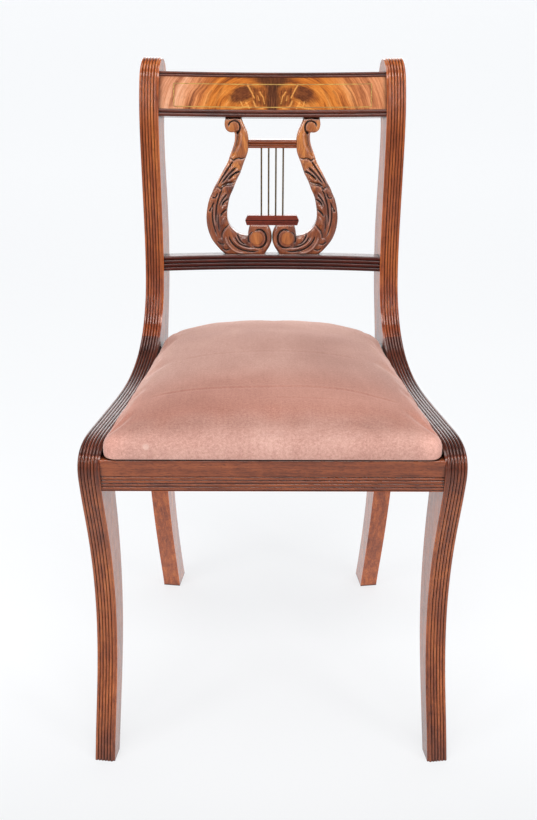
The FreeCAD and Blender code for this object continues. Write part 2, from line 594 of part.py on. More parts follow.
cover_tacks = []
yb = SEAT_FRONT + 28.0
for k in range(8):
    cover_tacks.append(tack(-150.0 + k * 300.0 / 7.0, yb, COVER_Z0, False))
yb = SEAT_BACK - 28.0
for k in range(6):
    cover_tacks.append(tack(-100.0 + k * 200.0 / 5.0, yb, COVER_Z0, False))
for k in range(7):
    y_ = 60.0 + k * 42.0
    for sg in (-1, 1):
        cover_tacks.append(tack(sg * x_in(y_, -SEAT_GAP - 28.0), y_, COVER_Z0, False))
ct = Part.makeCompound(cover_tacks)
cover = only_solid(cover.cut(ct))
both = Part.makeCompound(web_tacks + cover_tacks)
front_bar = only_solid(front_bar.cut(both))
back_bar = only_solid(back_bar.cut(both))
side_right_bar = only_solid(side_right_bar.cut(both))
side_left_bar = only_solid(side_left_bar.cut(both))

# ------------------------------------------------------------------ write the pieces
nodes = {
    "back_stile_right": stile_r, "back_stile_left": mirrored(stile_r),
    "side_rail_right": rail_r, "side_rail_left": mirrored(rail_r),
    "front_leg_right": leg_r, "front_leg_left": mirrored(leg_r),
    "knee_dowels": Part.makeCompound(dowels_r + [mirrored(d) for d in dowels_r]),
    "front_seat_rail": front_rail,
    "rear_seat_rail": rear_rail,
    "crest_rail": crest,
    "crest_veneer_panel": panel,
    "crest_veneer_border": border,
    "crest_stringing": stringing,
    "lower_back_rail": lower,
    "lyre_arm_right": arm, "lyre_arm_left": arm_l,
    "lyre_crossbar": yoke,
    "lyre_bridge": bridge,
    "lyre_strings": Part.makeCompound(strings),
    "corner_block_front_right": front_blk, "corner_block_front_left": mirrored(front_blk),
    "corner_block_rear_right": rear_blk, "corner_block_rear_left": mirrored(rear_blk),
    "block_screws": Part.makeCompound(screws),
    "seat_frame_front": front_bar,
    "seat_frame_back": back_bar,
    "seat_frame_right": side_right_bar, "seat_frame_left": side_left_bar,
    "webbing_lengthwise": Part.makeCompound(straps_y),
    "webbing_crosswise": Part.makeCompound(straps_x),
    "webbing_tacks": Part.makeCompound(web_tacks),
    "hessian": hessian,
    "seat_pad": pad,
    "seat_cover": cover,
    "cover_tacks": Part.makeCompound(cover_tacks),
}

lo = [1e9] * 3
hi = [-1e9] * 3
for name, shape in nodes.items():
    bb = shape.optimalBoundingBox()
    lo = [min(lo[0], bb.XMin), min(lo[1], bb.YMin), min(lo[2], bb.ZMin)]
    hi = [max(hi[0], bb.XMax), max(hi[1], bb.YMax), max(hi[2], bb.ZMax)]
    ok = all(s.isValid() for s in shape.Solids)
    print("%-26s solids %2d  valid %s  vol %.1f cm3  z %.1f..%.1f" % (
        name, len(shape.Solids), ok, sum(s.Volume for s in shape.Solids) / 1000.0, bb.ZMin, bb.ZMax))
    shape.exportStep("parts/%s.step" % name)
print("nodes", len(nodes), "box", [round(v, 2) for v in lo], [round(v, 2) for v in hi])
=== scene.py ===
import json
import math

import bmesh
import bpy
import numpy as np
from mathutils import Matrix, Vector


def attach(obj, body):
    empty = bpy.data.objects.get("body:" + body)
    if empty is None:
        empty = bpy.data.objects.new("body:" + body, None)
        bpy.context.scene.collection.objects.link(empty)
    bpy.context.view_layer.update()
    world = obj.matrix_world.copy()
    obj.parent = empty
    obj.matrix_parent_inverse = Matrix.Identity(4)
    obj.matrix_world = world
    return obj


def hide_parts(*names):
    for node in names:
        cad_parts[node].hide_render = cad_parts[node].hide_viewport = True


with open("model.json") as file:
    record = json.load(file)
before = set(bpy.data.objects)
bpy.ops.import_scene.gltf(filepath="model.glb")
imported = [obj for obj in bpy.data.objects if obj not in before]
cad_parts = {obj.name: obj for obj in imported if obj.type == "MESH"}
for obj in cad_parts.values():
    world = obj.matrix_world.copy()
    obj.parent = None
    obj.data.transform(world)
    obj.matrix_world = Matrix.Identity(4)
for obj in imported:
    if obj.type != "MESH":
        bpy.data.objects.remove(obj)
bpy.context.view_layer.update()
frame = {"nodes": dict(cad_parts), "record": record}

NODES = frame["nodes"]
RECORD = {s["node"]: s["material_slot"] for s in frame["record"]["subparts"]}
YC = 0.20699                      # depth of the chair's middle behind its front corner
HALF_FRONT, CONVERGE, REED_W = 0.2335, 0.13257, 0.00408
CA, SA = math.cos(CONVERGE), math.sin(CONVERGE)

# ------------------------------------------------------------------ camera
cam = bpy.data.objects.new("camera", bpy.data.cameras.new("camera"))
bpy.context.scene.collection.objects.link(cam)
bpy.context.scene.camera = cam
cam.data.sensor_width = 36.0
cam.data.lens = 1050.0 / 820.0 * 36.0
pitch, yaw, roll = 0.424985, 0.0028017, -0.0036675
fw = Vector((math.sin(yaw) * math.cos(pitch), math.cos(yaw) * math.cos(pitch), -math.sin(pitch)))
rr = Vector((math.cos(yaw), -math.sin(yaw), 0.0))
dd = fw.cross(rr)
right = math.cos(roll) * rr + math.sin(roll) * dd
down = -math.sin(roll) * rr + math.cos(roll) * dd
m = Matrix.Identity(4)
for i in range(3):
    m[i][0], m[i][1], m[i][2] = right[i], -down[i], -fw[i]
m.translation = Vector((-0.008317, -1.110639 - YC, 1.009632))
cam.matrix_world = m
cam.data.clip_start, cam.data.clip_end = 0.02, 200.0


# ------------------------------------------------------------------ shader helpers
class Mat:
    """A small builder for node materials."""

    def __init__(self, name):
        self.m = bpy.data.materials.new(name)
        self.m.use_nodes = True
        self.t = self.m.node_tree
        self.t.nodes.clear()
        self.out = self.t.nodes.new("ShaderNodeOutputMaterial")
        self.x = 0

    def node(self, kind, props=None, **ins):
        n = self.t.nodes.new(kind)
        for k, v in (props or {}).items():
            setattr(n, k, v)
        for k, v in ins.items():
            self.put(n.inputs[k.replace("_", " ")] if k.replace("_", " ") in n.inputs else n.inputs[k], v)
        return n

    def put(self, socket, v):
        if isinstance(v, bpy.types.NodeSocket):
            self.t.links.new(v, socket)
        elif isinstance(v, (tuple, list, Vector)):
            v = list(v)
            if socket.type == "RGBA" and len(v) == 3:
                v = v + [1.0]
            socket.default_value = v
        else:
            socket.default_value = v

    def math(self, op, a, b=None, c=None, clamp=False):
        n = self.t.nodes.new("ShaderNodeMath")
        n.operation = op
        n.use_clamp = clamp
        self.put(n.inputs[0], a)
        if b is not None:
            self.put(n.inputs[1], b)
        if c is not None:
            self.put(n.inputs[2], c)
        return n.outputs[0]

    def vmath(self, op, a, b=None):
        n = self.t.nodes.new("ShaderNodeVectorMath")
        n.operation = op
        self.put(n.inputs[0], a)
        if b is not None:
            self.put(n.inputs[1], b)
        return n.outputs["Value"] if op in ("DOT_PRODUCT", "LENGTH", "DISTANCE") else n.outputs["Vector"]

    def vec(self, x, y, z):
        n = self.t.nodes.new("ShaderNodeCombineXYZ")
        for s, v in zip(n.inputs, (x, y, z)):
            self.put(s, v)
        return n.outputs[0]

    def coords(self):
        n = self.t.nodes.new("ShaderNodeTexCoord")
        return n.outputs["Object"]

    def noise(self, vec, scale=1.0, detail=2.0, rough=0.5, distort=0.0, kind="Fac"):
        n = self.t.nodes.new("ShaderNodeTexNoise")
        self.put(n.inputs["Vector"], vec)
        n.inputs["Scale"].default_value = scale
        n.inputs["Detail"].default_value = detail
        n.inputs["Roughness"].default_value = rough
        n.inputs["Distortion"].default_value = distort
        return n.outputs[kind]

    def voronoi(self, vec, scale=1.0, feature="F1", out="Distance"):
        n = self.t.nodes.new("ShaderNodeTexVoronoi")
        n.feature = feature
        self.put(n.inputs["Vector"], vec)
        n.inputs["Scale"].default_value = scale
        return n.outputs[out]

    def ramp(self, fac, stops, interp="EASE"):
        n = self.t.nodes.new("ShaderNodeValToRGB")
        n.color_ramp.interpolation = interp
        e = n.color_ramp.elements
        while len(e) < len(stops):
            e.new(0.5)
        for i, (p, c) in enumerate(stops):
            e[i].position = p
            e[i].color = (c, c, c, 1.0) if isinstance(c, (int, float)) else (*c, 1.0)
        self.put(n.inputs[0], fac)
        return n.outputs["Color"]

    def step(self, v, a, b, lo=0.0, hi=1.0):
        """Smooth change from lo to hi as v goes from a to b."""
        n = self.t.nodes.new("ShaderNodeMapRange")
        n.interpolation_type = "SMOOTHSTEP"
        self.put(n.inputs["Value"], v)
        n.inputs["From Min"].default_value = a
        n.inputs["From Max"].default_value = b
        n.inputs["To Min"].default_value = lo
        n.inputs["To Max"].default_value = hi
        return n.outputs["Result"]

    def mix(self, fac, a, b, blend="MIX"):
        n = self.t.nodes.new("ShaderNodeMix")
        n.data_type = "RGBA"
        n.blend_type = blend
        self.put(n.inputs[0], fac)
        self.put(n.inputs[6], a)
        self.put(n.inputs[7], b)
        return n.outputs[2]

    def bump(self, height, strength, distance, normal=None):
        n = self.t.nodes.new("ShaderNodeBump")
        n.inputs["Strength"].default_value = strength
        n.inputs["Distance"].default_value = distance
        self.put(n.inputs["Height"], height)
        if normal is not None:
            self.put(n.inputs["Normal"], normal)
        return n.outputs[0]

    def ao(self, distance, samples=8, inside=False):
        n = self.t.nodes.new("ShaderNodeAmbientOcclusion")
        n.samples = samples
        n.inside = inside
        n.only_local = False
        n.inputs["Distance"].default_value = distance
        return n.outputs["AO"]

    def principled(self, **kw):
        n = self.t.nodes.new("ShaderNodeBsdfPrincipled")
        for k, v in kw.items():
            self.put(n.inputs[k.replace("_", " ")], v)
        self.t.links.new(n.outputs[0], self.out.inputs[0])
        return n


def srgb(r, g, b):
    def f(v):
        v = v / 255.0
        return v / 12.92 if v <= 0.04045 else ((v + 0.055) / 1.055) ** 2.4
    return (f(r), f(g), f(b))


# ------------------------------------------------------------------ wood
def grain_frame(axis):
    """Unit vectors: along the grain, and two across it."""
    a = Vector(axis).normalized()
    b = a.cross(Vector((0.13, 0.91, 0.39))).normalized()
    return a, b, a.cross(b)


def mahogany(name, axis, seed, light, mid, dark, low=None, high=None, groove=1.0, gloss=0.13, stripe=1.0, fleck=0.0, ior=1.48):
    """French-polished mahogany. axis: the way the grain runs.
    low, high = (z0, z1, k): painted shade and painted light by height; the colour is scaled by the factors k from z1 to
    z0."""
    g = Mat(name)
    P = g.coords()
    a, b, c = grain_frame(axis)
    u, v, w = g.vmath("DOT_PRODUCT", P, a), g.vmath("DOT_PRODUCT", P, b), g.vmath("DOT_PRODUCT", P, c)
    s = seed * 7.31

    def at(ku, kv, kw=None):
        kw = kv if kw is None else kw
        return g.vec(g.math("MULTIPLY_ADD", u, ku, s), g.math("MULTIPLY_ADD", v, kv, s * 0.37), g.math("MULTIPLY_ADD", w, kw, s * 0.71))

    bands = g.noise(at(3.2, 42.0), 1.0, 3.0, 0.55, 0.35)
    ribbon = g.noise(at(9.0, 190.0), 1.0, 2.0, 0.5, 0.2)
    fibre = g.noise(at(30.0, 820.0), 1.0, 3.0, 0.65)
    pores = g.noise(at(190.0, 2300.0), 1.0, 1.0, 0.5)
    mottle = g.noise(at(55.0, 60.0), 1.0, 2.0, 0.5, 0.6)
    tone = g.math("ADD", g.math("MULTIPLY", bands, 0.46 * stripe), g.math("MULTIPLY", ribbon, 0.30))
    tone = g.math("ADD", tone, g.math("MULTIPLY", fibre, 0.34))
    tone = g.math("ADD", tone, g.math("MULTIPLY", mottle, 0.14))
    tone = g.math("SUBTRACT", tone, 0.23 * stripe - 0.11)
    col = g.ramp(tone, [(0.34, dark), (0.51, mid), (0.70, light)], "LINEAR")
    pore = g.step(pores, 0.58, 0.72)
    col = g.mix(g.math("MULTIPLY", pore, 0.62), col, tuple(k * 0.26 for k in dark))
    if fleck:
        # short dark dashes where the saw crossed the fibres
        dash = g.step(g.noise(at(120.0, 700.0), 1.0, 2.0, 0.6), 0.54, 0.68)
        col = g.mix(g.math("MULTIPLY", dash, fleck), col, dark)
    z = g.vmath("DOT_PRODUCT", P, (0, 0, 1))
    z = g.math("ADD", z, g.math("MULTIPLY_ADD", bands, 0.04, -0.02))
    # painted shade and painted light by height
    for zone in (low, high):
        if zone:
            z0, z1, k = zone
            t = g.step(z, z0, z1, 1.0, 0.0) if z1 > z0 else g.step(z, z1, z0, 0.0, 1.0)
            col = g.mix(t, col, g.mix(1.0, col, k, "MULTIPLY"))
    # painted shade in the hollows, where old wax also lies, and painted highlight along the edges, where the polish is
    # also worn
    near = g.ao(0.0045, 8)
    hollow = g.step(near, 0.42, 0.95, 1.0, 0.0)
    groove_shade_col = tuple(k * 0.12 for k in dark)
    col = g.mix(g.math("MULTIPLY", hollow, min(1.0, 0.92 * groove)), col, groove_shade_col)
    # painted highlight: edges and reed crests lighter
    out = g.step(g.ao(0.0030, 8, inside=True), 0.45, 0.95, 1.0, 0.0)
    col = g.mix(g.math("MULTIPLY", out, 0.55), col, g.mix(1.0, col, (1.42, 1.22, 0.98), "MULTIPLY"))
    rub = g.step(g.noise(at(70.0, 90.0), 1.0, 3.0, 0.6), 0.35, 0.8)
    rough = g.math("MULTIPLY_ADD", rub, 0.16, 0.34)
    rough = g.math("ADD", rough, g.math("MULTIPLY", hollow, 0.2))
    h = g.math("ADD", g.math("MULTIPLY", fibre, 0.35), g.math("MULTIPLY", pore, -0.65))
    nb = g.bump(h, 0.22, 0.00025)
    coat_h = g.noise(at(60.0, 110.0), 1.0, 2.0, 0.5)
    nc = g.bump(coat_h, 0.10, 0.0006, g.bump(pore, 0.06, 0.0002))
    g.principled(Base_Color=col, Roughness=rough, Normal=nb, Coat_Weight=1.0, Coat_Roughness=gloss, Coat_IOR=ior,
                 Coat_Normal=nc, Specular_IOR_Level=0.12)
    return g.m


def carved_wood(name, axis, seed):
    """Mahogany under the chisel: painted shade in every cut, painted highlight on the raised parts."""
    g = Mat(name)
    P = g.coords()
    a, b, c = grain_frame(axis)
    u, v, w = g.vmath("DOT_PRODUCT", P, a), g.vmath("DOT_PRODUCT", P, b), g.vmath("DOT_PRODUCT", P, c)
    s = seed * 3.17

    def at(ku, kv):
        return g.vec(g.math("MULTIPLY_ADD", u, ku, s), g.math("MULTIPLY_ADD", v, kv, s * 0.37), g.math("MULTIPLY_ADD", w, kv, s * 0.71))

    bands = g.noise(at(22.0, 95.0), 1.0, 3.0, 0.6, 0.5)
    fibre = g.noise(at(60.0, 900.0), 1.0, 3.0, 0.65)
    tone = g.math("ADD", g.math("MULTIPLY", bands, 0.62), g.math("MULTIPLY", fibre, 0.38))
    col = g.ramp(tone, [(0.36, srgb(106, 52, 24)), (0.49, srgb(170, 96, 44)), (0.62, srgb(212, 134, 64))], "LINEAR")
    pore = g.step(g.noise(at(240.0, 2200.0), 1.0, 1.0, 0.5), 0.60, 0.72)
    col = g.mix(g.math("MULTIPLY", pore, 0.5), col, srgb(52, 26, 18))
    z = g.vmath("DOT_PRODUCT", P, (0, 0, 1))
    col = g.mix(g.step(g.math("ADD", z, g.math("MULTIPLY_ADD", bands, 0.06, -0.03)), 0.66, 0.725, 1.0, 0.0), col, g.mix(1.0, col, (0.52, 0.40, 0.46), "MULTIPLY"))
    # painted shade in the cuts and painted highlight on the raised parts, found by ambient occlusion
    wide_cut_shade = g.step(g.ao(0.0060, 12), 0.55, 1.0, 1.0, 0.0)
    tight_cut_shade = g.step(g.ao(0.0022, 12), 0.50, 0.97, 1.0, 0.0)
    ridge_highlight = g.step(g.ao(0.0032, 12, inside=True), 0.50, 0.96, 1.0, 0.0)
    col = g.mix(g.math("MULTIPLY", wide_cut_shade, 0.86), col, srgb(50, 25, 19))
    col = g.mix(g.math("MULTIPLY", tight_cut_shade, 0.95), col, srgb(24, 12, 10))
    col = g.mix(g.math("MULTIPLY", ridge_highlight, 0.50), col, g.mix(1.0, col, (1.6, 1.36, 1.16), "MULTIPLY"))
    flat_x = g.math("ABSOLUTE", g.vmath("DOT_PRODUCT", P, (1, 0, 0)))
    face = None
    for bx_, bz_, br_ in ((0.0225, 0.6080, 0.0094), (0.0543, 0.7655, 0.0066)):
        d_ = g.vmath("LENGTH", g.vec(g.math("SUBTRACT", flat_x, bx_), 0.0, g.math("SUBTRACT", z, bz_)))
        k_ = g.step(d_, br_ - 0.0012, br_ + 0.0004, 1.0, 0.0)
        face = k_ if face is None else g.math("MAXIMUM", face, k_)
    amber = g.ramp(tone, [(0.36, srgb(128, 66, 28)), (0.5, srgb(172, 98, 44)), (0.64, srgb(196, 122, 60))], "LINEAR")
    col = g.mix(g.math("MULTIPLY", g.math("MULTIPLY", face, g.math("SUBTRACT", 1.0, tight_cut_shade)), 0.85), col, amber)
    # painted pinkish highlight on the raised parts
    col = g.mix(g.math("MULTIPLY", ridge_highlight, 0.42), col, srgb(198, 162, 150))
    h = g.math("ADD", g.math("MULTIPLY", fibre, 0.4), g.math("MULTIPLY", g.noise(P, 620.0, 2.0, 0.6), 0.6))
    nc = g.bump(g.noise(P, 330.0, 2.0, 0.5), 0.16, 0.0006)
    g.principled(Base_Color=col, Roughness=g.math("MULTIPLY_ADD", tight_cut_shade, 0.3, 0.38), Normal=g.bump(h, 0.3, 0.0003), Coat_Weight=1.0,
                 Coat_Roughness=0.13, Coat_IOR=1.6, Coat_Normal=nc, Specular_IOR_Level=0.2)
    return g.m


LIGHT, MID, DARK = srgb(206, 122, 58), srgb(158, 80, 38), srgb(92, 38, 18)
L_LIGHT, L_MID, L_DARK = srgb(200, 114, 58), srgb(150, 76, 38), srgb(88, 38, 20)
R_LIGHT, R_MID, R_DARK = srgb(178, 98, 54), srgb(142, 72, 40), srgb(82, 36, 22)
S_LIGHT, S_MID, S_DARK = srgb(122, 60, 38), srgb(88, 40, 26), srgb(48, 19, 13)
D_LIGHT, D_MID, D_DARK = srgb(104, 36, 20), srgb(70, 22, 14), srgb(36, 10, 7)


def assign(node, mat):
    o = NODES[node]
    o.data.materials.clear()
    o.data.materials.append(mat)


# stiles: painted shade beside the seat (low) and painted light lower on the rear legs (high); front legs: darker at the
# feet (low) and painted shade at the knee under the seat (high)
for sg, nm in ((1, "right"), (-1, "left")):
    assign("back_stile_" + nm, mahogany("stile_" + nm, (0.0, 0.05, 1.0), 1.0 + sg, LIGHT, MID, DARK, low=(0.50, 0.62, (0.74, 0.62, 0.66)),
                                         high=(0.36, 0.42, (1.62, 1.78, 1.55))))
    assign("side_rail_" + nm, mahogany("rail_" + nm, (-SA * sg, CA, 0.10), 4.0 + sg, S_LIGHT, S_MID, S_DARK))
    assign("front_leg_" + nm, mahogany("leg_" + nm, (0.0, 0.08, 1.0), 8.0 + sg, L_LIGHT, L_MID, L_DARK, low=(0.0, 0.10, (0.62, 0.58, 0.66)),
                                       high=(0.43, 0.37, (0.50, 0.42, 0.46))))
    assign("lyre_arm_" + nm, mahogany("arm_" + nm, (0.1 * sg, 0.0, 1.0), 12.0 + sg, LIGHT, MID, DARK))
assign("front_seat_rail", mahogany("front_rail", (1, 0, 0), 21.0, R_LIGHT, R_MID, R_DARK, stripe=0.55, fleck=0.55))
assign("rear_seat_rail", mahogany("rear_rail", (1, 0, 0), 22.0, R_LIGHT, R_MID, R_DARK))
assign("lower_back_rail", mahogany("lower_rail", (1, 0, 0), 23.0, D_LIGHT, D_MID, D_DARK, ior=1.36))
assign("crest_rail", mahogany("crest", (1, 0, 0), 24.0, S_LIGHT, S_MID, S_DARK, ior=1.36, groove=1.08))
assign("lyre_crossbar", mahogany("yoke", (1, 0, 0), 25.0, R_LIGHT, R_MID, R_DARK, ior=1.38))
assign("lyre_bridge", mahogany("bridge", (1, 0, 0), 26.0, srgb(140, 58, 38), srgb(104, 40, 27), srgb(54, 18, 13), ior=1.36))


# ------------------------------------------------------------------ crest veneer
def flame_veneer(name, deeper):
    """Two mirrored leaves of crotch mahogany: a dark plume up the middle, a dark knot each
    side of it with bright flames at its foot, and arcs that sweep out and down to the ends."""
    g = Mat(name)
    P = g.coords()
    x = g.math("MULTIPLY", g.vmath("DOT_PRODUCT", P, (1, 0, 0)), 1000.0)
    z = g.math("MULTIPLY", g.math("SUBTRACT", g.vmath("DOT_PRODUCT", P, (0, 0, 1)), 0.8055), 1000.0)
    ax = g.math("ABSOLUTE", x)
    odd = g.noise(g.vec(g.math("MULTIPLY", x, 0.022), g.math("MULTIPLY", z, 0.05), 2.0), 1.0, 2.0, 0.5)
    odd2 = g.noise(g.vec(g.math("MULTIPLY", x, 0.11), g.math("MULTIPLY", z, 0.10), 7.0), 1.0, 2.0, 0.5)
    axd = g.math("ADD", ax, g.math("ADD", g.math("MULTIPLY_ADD", odd, 6.0, -3.0), g.math("MULTIPLY_ADD", odd2, 1.6, -0.8)))
    # arcs about a point below the knot
    r = g.math("SQRT", g.math("ADD", g.math("POWER", g.math("SUBTRACT", axd, 20.0), 2.0), g.math("MULTIPLY", g.math("POWER", g.math("ADD", z, 30.0), 2.0), 1.35)))
    th = g.math("ARCTAN2", g.math("ADD", z, 30.0), g.math("SUBTRACT", axd, 20.0))
    band = g.noise(g.vec(g.math("MULTIPLY", r, 0.105), g.math("MULTIPLY", th, 1.1), g.math("MULTIPLY", g.step(x, -5.0, 5.0), 3.0)), 1.0, 1.0, 0.4, 0.2)
    streak = g.noise(g.vec(g.math("MULTIPLY", r, 0.46), g.math("MULTIPLY", th, 1.6), 8.0), 1.0, 3.0, 0.6, 0.25)
    fine = g.noise(g.vec(g.math("MULTIPLY", r, 1.3), g.math("MULTIPLY", th, 7.0), 1.0), 1.0, 3.0, 0.65)
    tone = g.math("ADD", g.math("MULTIPLY", band, 0.46), g.math("MULTIPLY", streak, 0.34))
    tone = g.math("ADD", tone, g.math("MULTIPLY", fine, 0.20))
    col = g.ramp(tone, [(0.37, srgb(104, 50, 20)), (0.44, srgb(162, 86, 30)), (0.50, srgb(196, 112, 40)), (0.58, srgb(212, 132, 56)), (0.68, srgb(224, 154, 86))], "LINEAR")
    # painted reflection: towards the ends the colour is paler and pinker, more so at the left
    ends = g.step(g.math("ADD", ax, g.math("MULTIPLY", z, 0.45)), 78.0, 150.0)
    end_reflection_col = g.ramp(tone, [(0.37, srgb(156, 92, 64)), (0.45, srgb(200, 134, 98)), (0.53, srgb(222, 164, 130)), (0.66, srgb(236, 192, 164))], "LINEAR")
    col = g.mix(g.math("MULTIPLY", ends, g.step(x, -60.0, 60.0, 1.0, 0.55)), col, end_reflection_col)

    def stroke(a, b, w):
        """1 on a line from a to b in (|x|, z) mm, fading out w mm away from it."""
        ux, uz = b[0] - a[0], b[1] - a[1]
        L2 = ux * ux + uz * uz
        dx, dz = g.math("SUBTRACT", axd, a[0]), g.math("SUBTRACT", z, a[1])
        t = g.math("DIVIDE", g.math("ADD", g.math("MULTIPLY", dx, ux), g.math("MULTIPLY", dz, uz)), L2, clamp=True)
        ex_, ez_ = g.math("SUBTRACT", dx, g.math("MULTIPLY", t, ux)), g.math("SUBTRACT", dz, g.math("MULTIPLY", t, uz))
        d_ = g.math("SQRT", g.math("ADD", g.math("MULTIPLY", ex_, ex_), g.math("MULTIPLY", ez_, ez_)))
        return g.step(d_, w * 0.2, w, 1.0, 0.0)

    # the knots
    n = g.noise(g.vec(g.math("MULTIPLY", x, 0.10), g.math("MULTIPLY", z, 0.13), 5.0), 1.0, 3.0, 0.6, 0.6)
    ex = g.math("DIVIDE", g.math("SUBTRACT", axd, 43.0), 20.0)
    ez = g.math("DIVIDE", g.math("SUBTRACT", z, g.math("MULTIPLY_ADD", ex, -5.0, 3.0)), 13.0)
    e = g.math("SQRT", g.math("ADD", g.math("POWER", ex, 2.0), g.math("POWER", ez, 2.0)))
    e = g.math("ADD", e, g.math("ADD", g.math("MULTIPLY_ADD", n, 0.7, -0.35), g.math("MULTIPLY_ADD", streak, 0.9, -0.45)))
    brown = g.ramp(g.math("ADD", g.math("MULTIPLY", fine, 0.6), g.math("MULTIPLY", n, 0.4)), [(0.35, srgb(62, 28, 14)), (0.5, srgb(98, 50, 26)), (0.66, srgb(136, 76, 40))], "LINEAR")
    col = g.mix(g.math("MULTIPLY", g.step(e, 0.45, 1.22, 1.0, 0.0), 0.95), col, brown)
    # between the plume and the knots
    zone = g.math("MULTIPLY", g.step(axd, 24.0, 36.0, 1.0, 0.0), g.step(z, 8.0, 18.0, 1.0, 0.0))
    flick = g.noise(g.vec(g.math("MULTIPLY", axd, 0.30), g.math("MULTIPLY", z, 0.06), 11.0), 1.0, 3.0, 0.6, 0.8)
    base2 = g.ramp(flick, [(0.36, srgb(70, 34, 16)), (0.5, srgb(112, 58, 26)), (0.62, srgb(168, 96, 44))], "LINEAR")
    col = g.mix(g.math("MULTIPLY", zone, 0.85), col, base2)
    # golden foot
    low = g.math("MULTIPLY", g.step(z, -16.0, -9.0, 1.0, 0.0), g.step(ax, 56.0, 78.0, 1.0, 0.0))
    gold = g.ramp(g.noise(g.vec(g.math("MULTIPLY", axd, 0.035), g.math("MULTIPLY", g.math("ADD", z, g.math("MULTIPLY", ax, 0.10)), 0.42), 3.0), 1.0, 3.0, 0.6, 0.3),
                  [(0.36, srgb(124, 60, 22)), (0.5, srgb(186, 100, 34)), (0.62, srgb(212, 132, 60))], "LINEAR")
    col = g.mix(g.math("MULTIPLY", low, 0.9), col, gold)
    # the flames
    bright = None
    for a_, b_, w in (((35.0, 16.0), (30.5, 8.0), 1.7), ((30.5, 8.0), (26.0, -1.5), 1.5), ((17.5, 6.0), (13.5, 0.0), 1.4), ((13.5, 0.0), (11.5, -9.0), 1.2),
                      ((27.5, -6.0), (23.0, -14.0), 1.9), ((37.5, -7.5), (33.0, -15.0), 1.7), ((50.0, -15.5), (36.0, -12.5), 2.0), ((44.0, -6.5), (42.0, -12.0), 1.3),
                      ((21.0, 1.0), (19.0, -5.0), 1.0), ((58.0, -17.0), (47.0, -13.5), 1.6), ((24.0, -13.0), (14.0, -15.0), 1.9)):
        k_ = stroke(a_, b_, w)
        bright = k_ if bright is None else g.math("MAXIMUM", bright, k_)
    bright = g.math("MULTIPLY", bright, g.math("MULTIPLY_ADD", g.step(fine, 0.38, 0.6), 0.5, 0.5))
    col = g.mix(g.math("MULTIPLY", bright, 0.85), col, srgb(232, 162, 84))
    # dark streaks further out
    dark_ = None
    for a_, b_, w in (((84.0, -20.0), (70.0, 12.0), 3.4), ((70.0, 12.0), (62.0, 22.0), 2.6), ((120.0, -24.0), (100.0, 22.0), 4.0), ((92.0, -8.0), (84.0, 8.0), 2.2), ((140.0, -10.0), (132.0, 20.0), 3.0)):
        k_ = stroke(a_, b_, w)
        dark_ = k_ if dark_ is None else g.math("MAXIMUM", dark_, k_)
    dark_ = g.math("MULTIPLY", dark_, g.step(streak, 0.34, 0.60, 1.0, 0.15))
    col = g.mix(g.math("MULTIPLY", dark_, 0.62), col, srgb(96, 48, 30))
    # the plume, wider under the top moulding
    wob = g.math("MULTIPLY_ADD", g.noise(g.vec(0.0, g.math("MULTIPLY", z, 0.12), g.math("MULTIPLY", x, 0.02)), 1.0, 2.0, 0.5), 7.0, -3.5)
    half = g.math("ADD", g.math("MULTIPLY", g.step(z, 9.0, 22.0), 20.0), 8.5)
    k = g.step(g.math("DIVIDE", g.math("ADD", ax, wob), half), 0.45, 1.35, 1.0, 0.0)
    lines = g.noise(g.vec(g.math("MULTIPLY", x, 0.75), g.math("MULTIPLY", z, 0.05), 6.0), 1.0, 3.0, 0.6)
    plume = g.ramp(lines, [(0.34, srgb(42, 20, 11)), (0.5, srgb(76, 39, 22)), (0.64, srgb(116, 66, 38))], "LINEAR")
    col = g.mix(g.math("MULTIPLY", k, 0.94), col, plume)
    if deeper != 1.0:
        col = g.mix(1.0, col, (deeper, deeper * 0.97, deeper * 0.95), "MULTIPLY")
    pore = g.step(g.noise(g.vec(g.math("MULTIPLY", r, 2.4), g.math("MULTIPLY", th, 16.0), 2.0), 1.0, 1.0, 0.5), 0.58, 0.70)
    col = g.mix(g.math("MULTIPLY", pore, 0.40), col, srgb(66, 32, 16))
    # painted shade in the hollows of the mouldings
    hollow = g.step(g.ao(0.006, 8), 0.55, 1.0, 1.0, 0.0)
    col = g.mix(g.math("MULTIPLY", hollow, 0.7), col, srgb(44, 20, 12))
    nc = g.bump(g.noise(P, 140.0, 2.0, 0.5), 0.05, 0.0005)
    g.principled(Base_Color=col, Roughness=g.math("MULTIPLY_ADD", fine, 0.1, 0.3), Coat_Weight=1.0, Coat_Roughness=0.10, Coat_IOR=1.36,
                 Specular_IOR_Level=0.10, Coat_Normal=nc, Normal=g.bump(fine, 0.1, 0.0002))
    return g.m


assign("crest_veneer_panel", flame_veneer("flame_veneer", 1.0))
assign("crest_veneer_border", flame_veneer("flame_border", 0.97))

g = Mat("boxwood")
P = g.coords()
line = g.noise(g.vmath("MULTIPLY", P, (120.0, 120.0, 420.0)), 1.0, 3.0, 0.6)
g.principled(Base_Color=g.mix(g.step(line, 0.35, 0.68), srgb(192, 154, 70), srgb(138, 100, 50)), Roughness=0.4, Coat_Weight=1.0, Coat_Roughness=0.12,
             Normal=g.bump(line, 0.1, 0.0002))
assign("crest_stringing", g.m)


def metal(name, base, rough, seed):
    g = Mat(name)
    P = g.coords()
    n = g.noise(P, 260.0 + seed, 4.0, 0.6)
    n2 = g.noise(P, 1900.0, 2.0, 0.6)
    col = g.mix(g.step(n, 0.35, 0.7), base, tuple(k * 0.42 for k in base))
    r = g.math("MULTIPLY_ADD", n, 0.25, rough)
    g.principled(Base_Color=col, Metallic=1.0, Roughness=r, Normal=g.bump(n2, 0.2, 0.0002))
    return g.m


assign("lyre_strings", metal("aged_brass", srgb(134, 112, 84), 0.20, 1.0))
steel = metal("steel", srgb(140, 138, 134), 0.35, 3.0)
for n in ("block_screws", "webbing_tacks", "cover_tacks"):
    assign(n, steel)


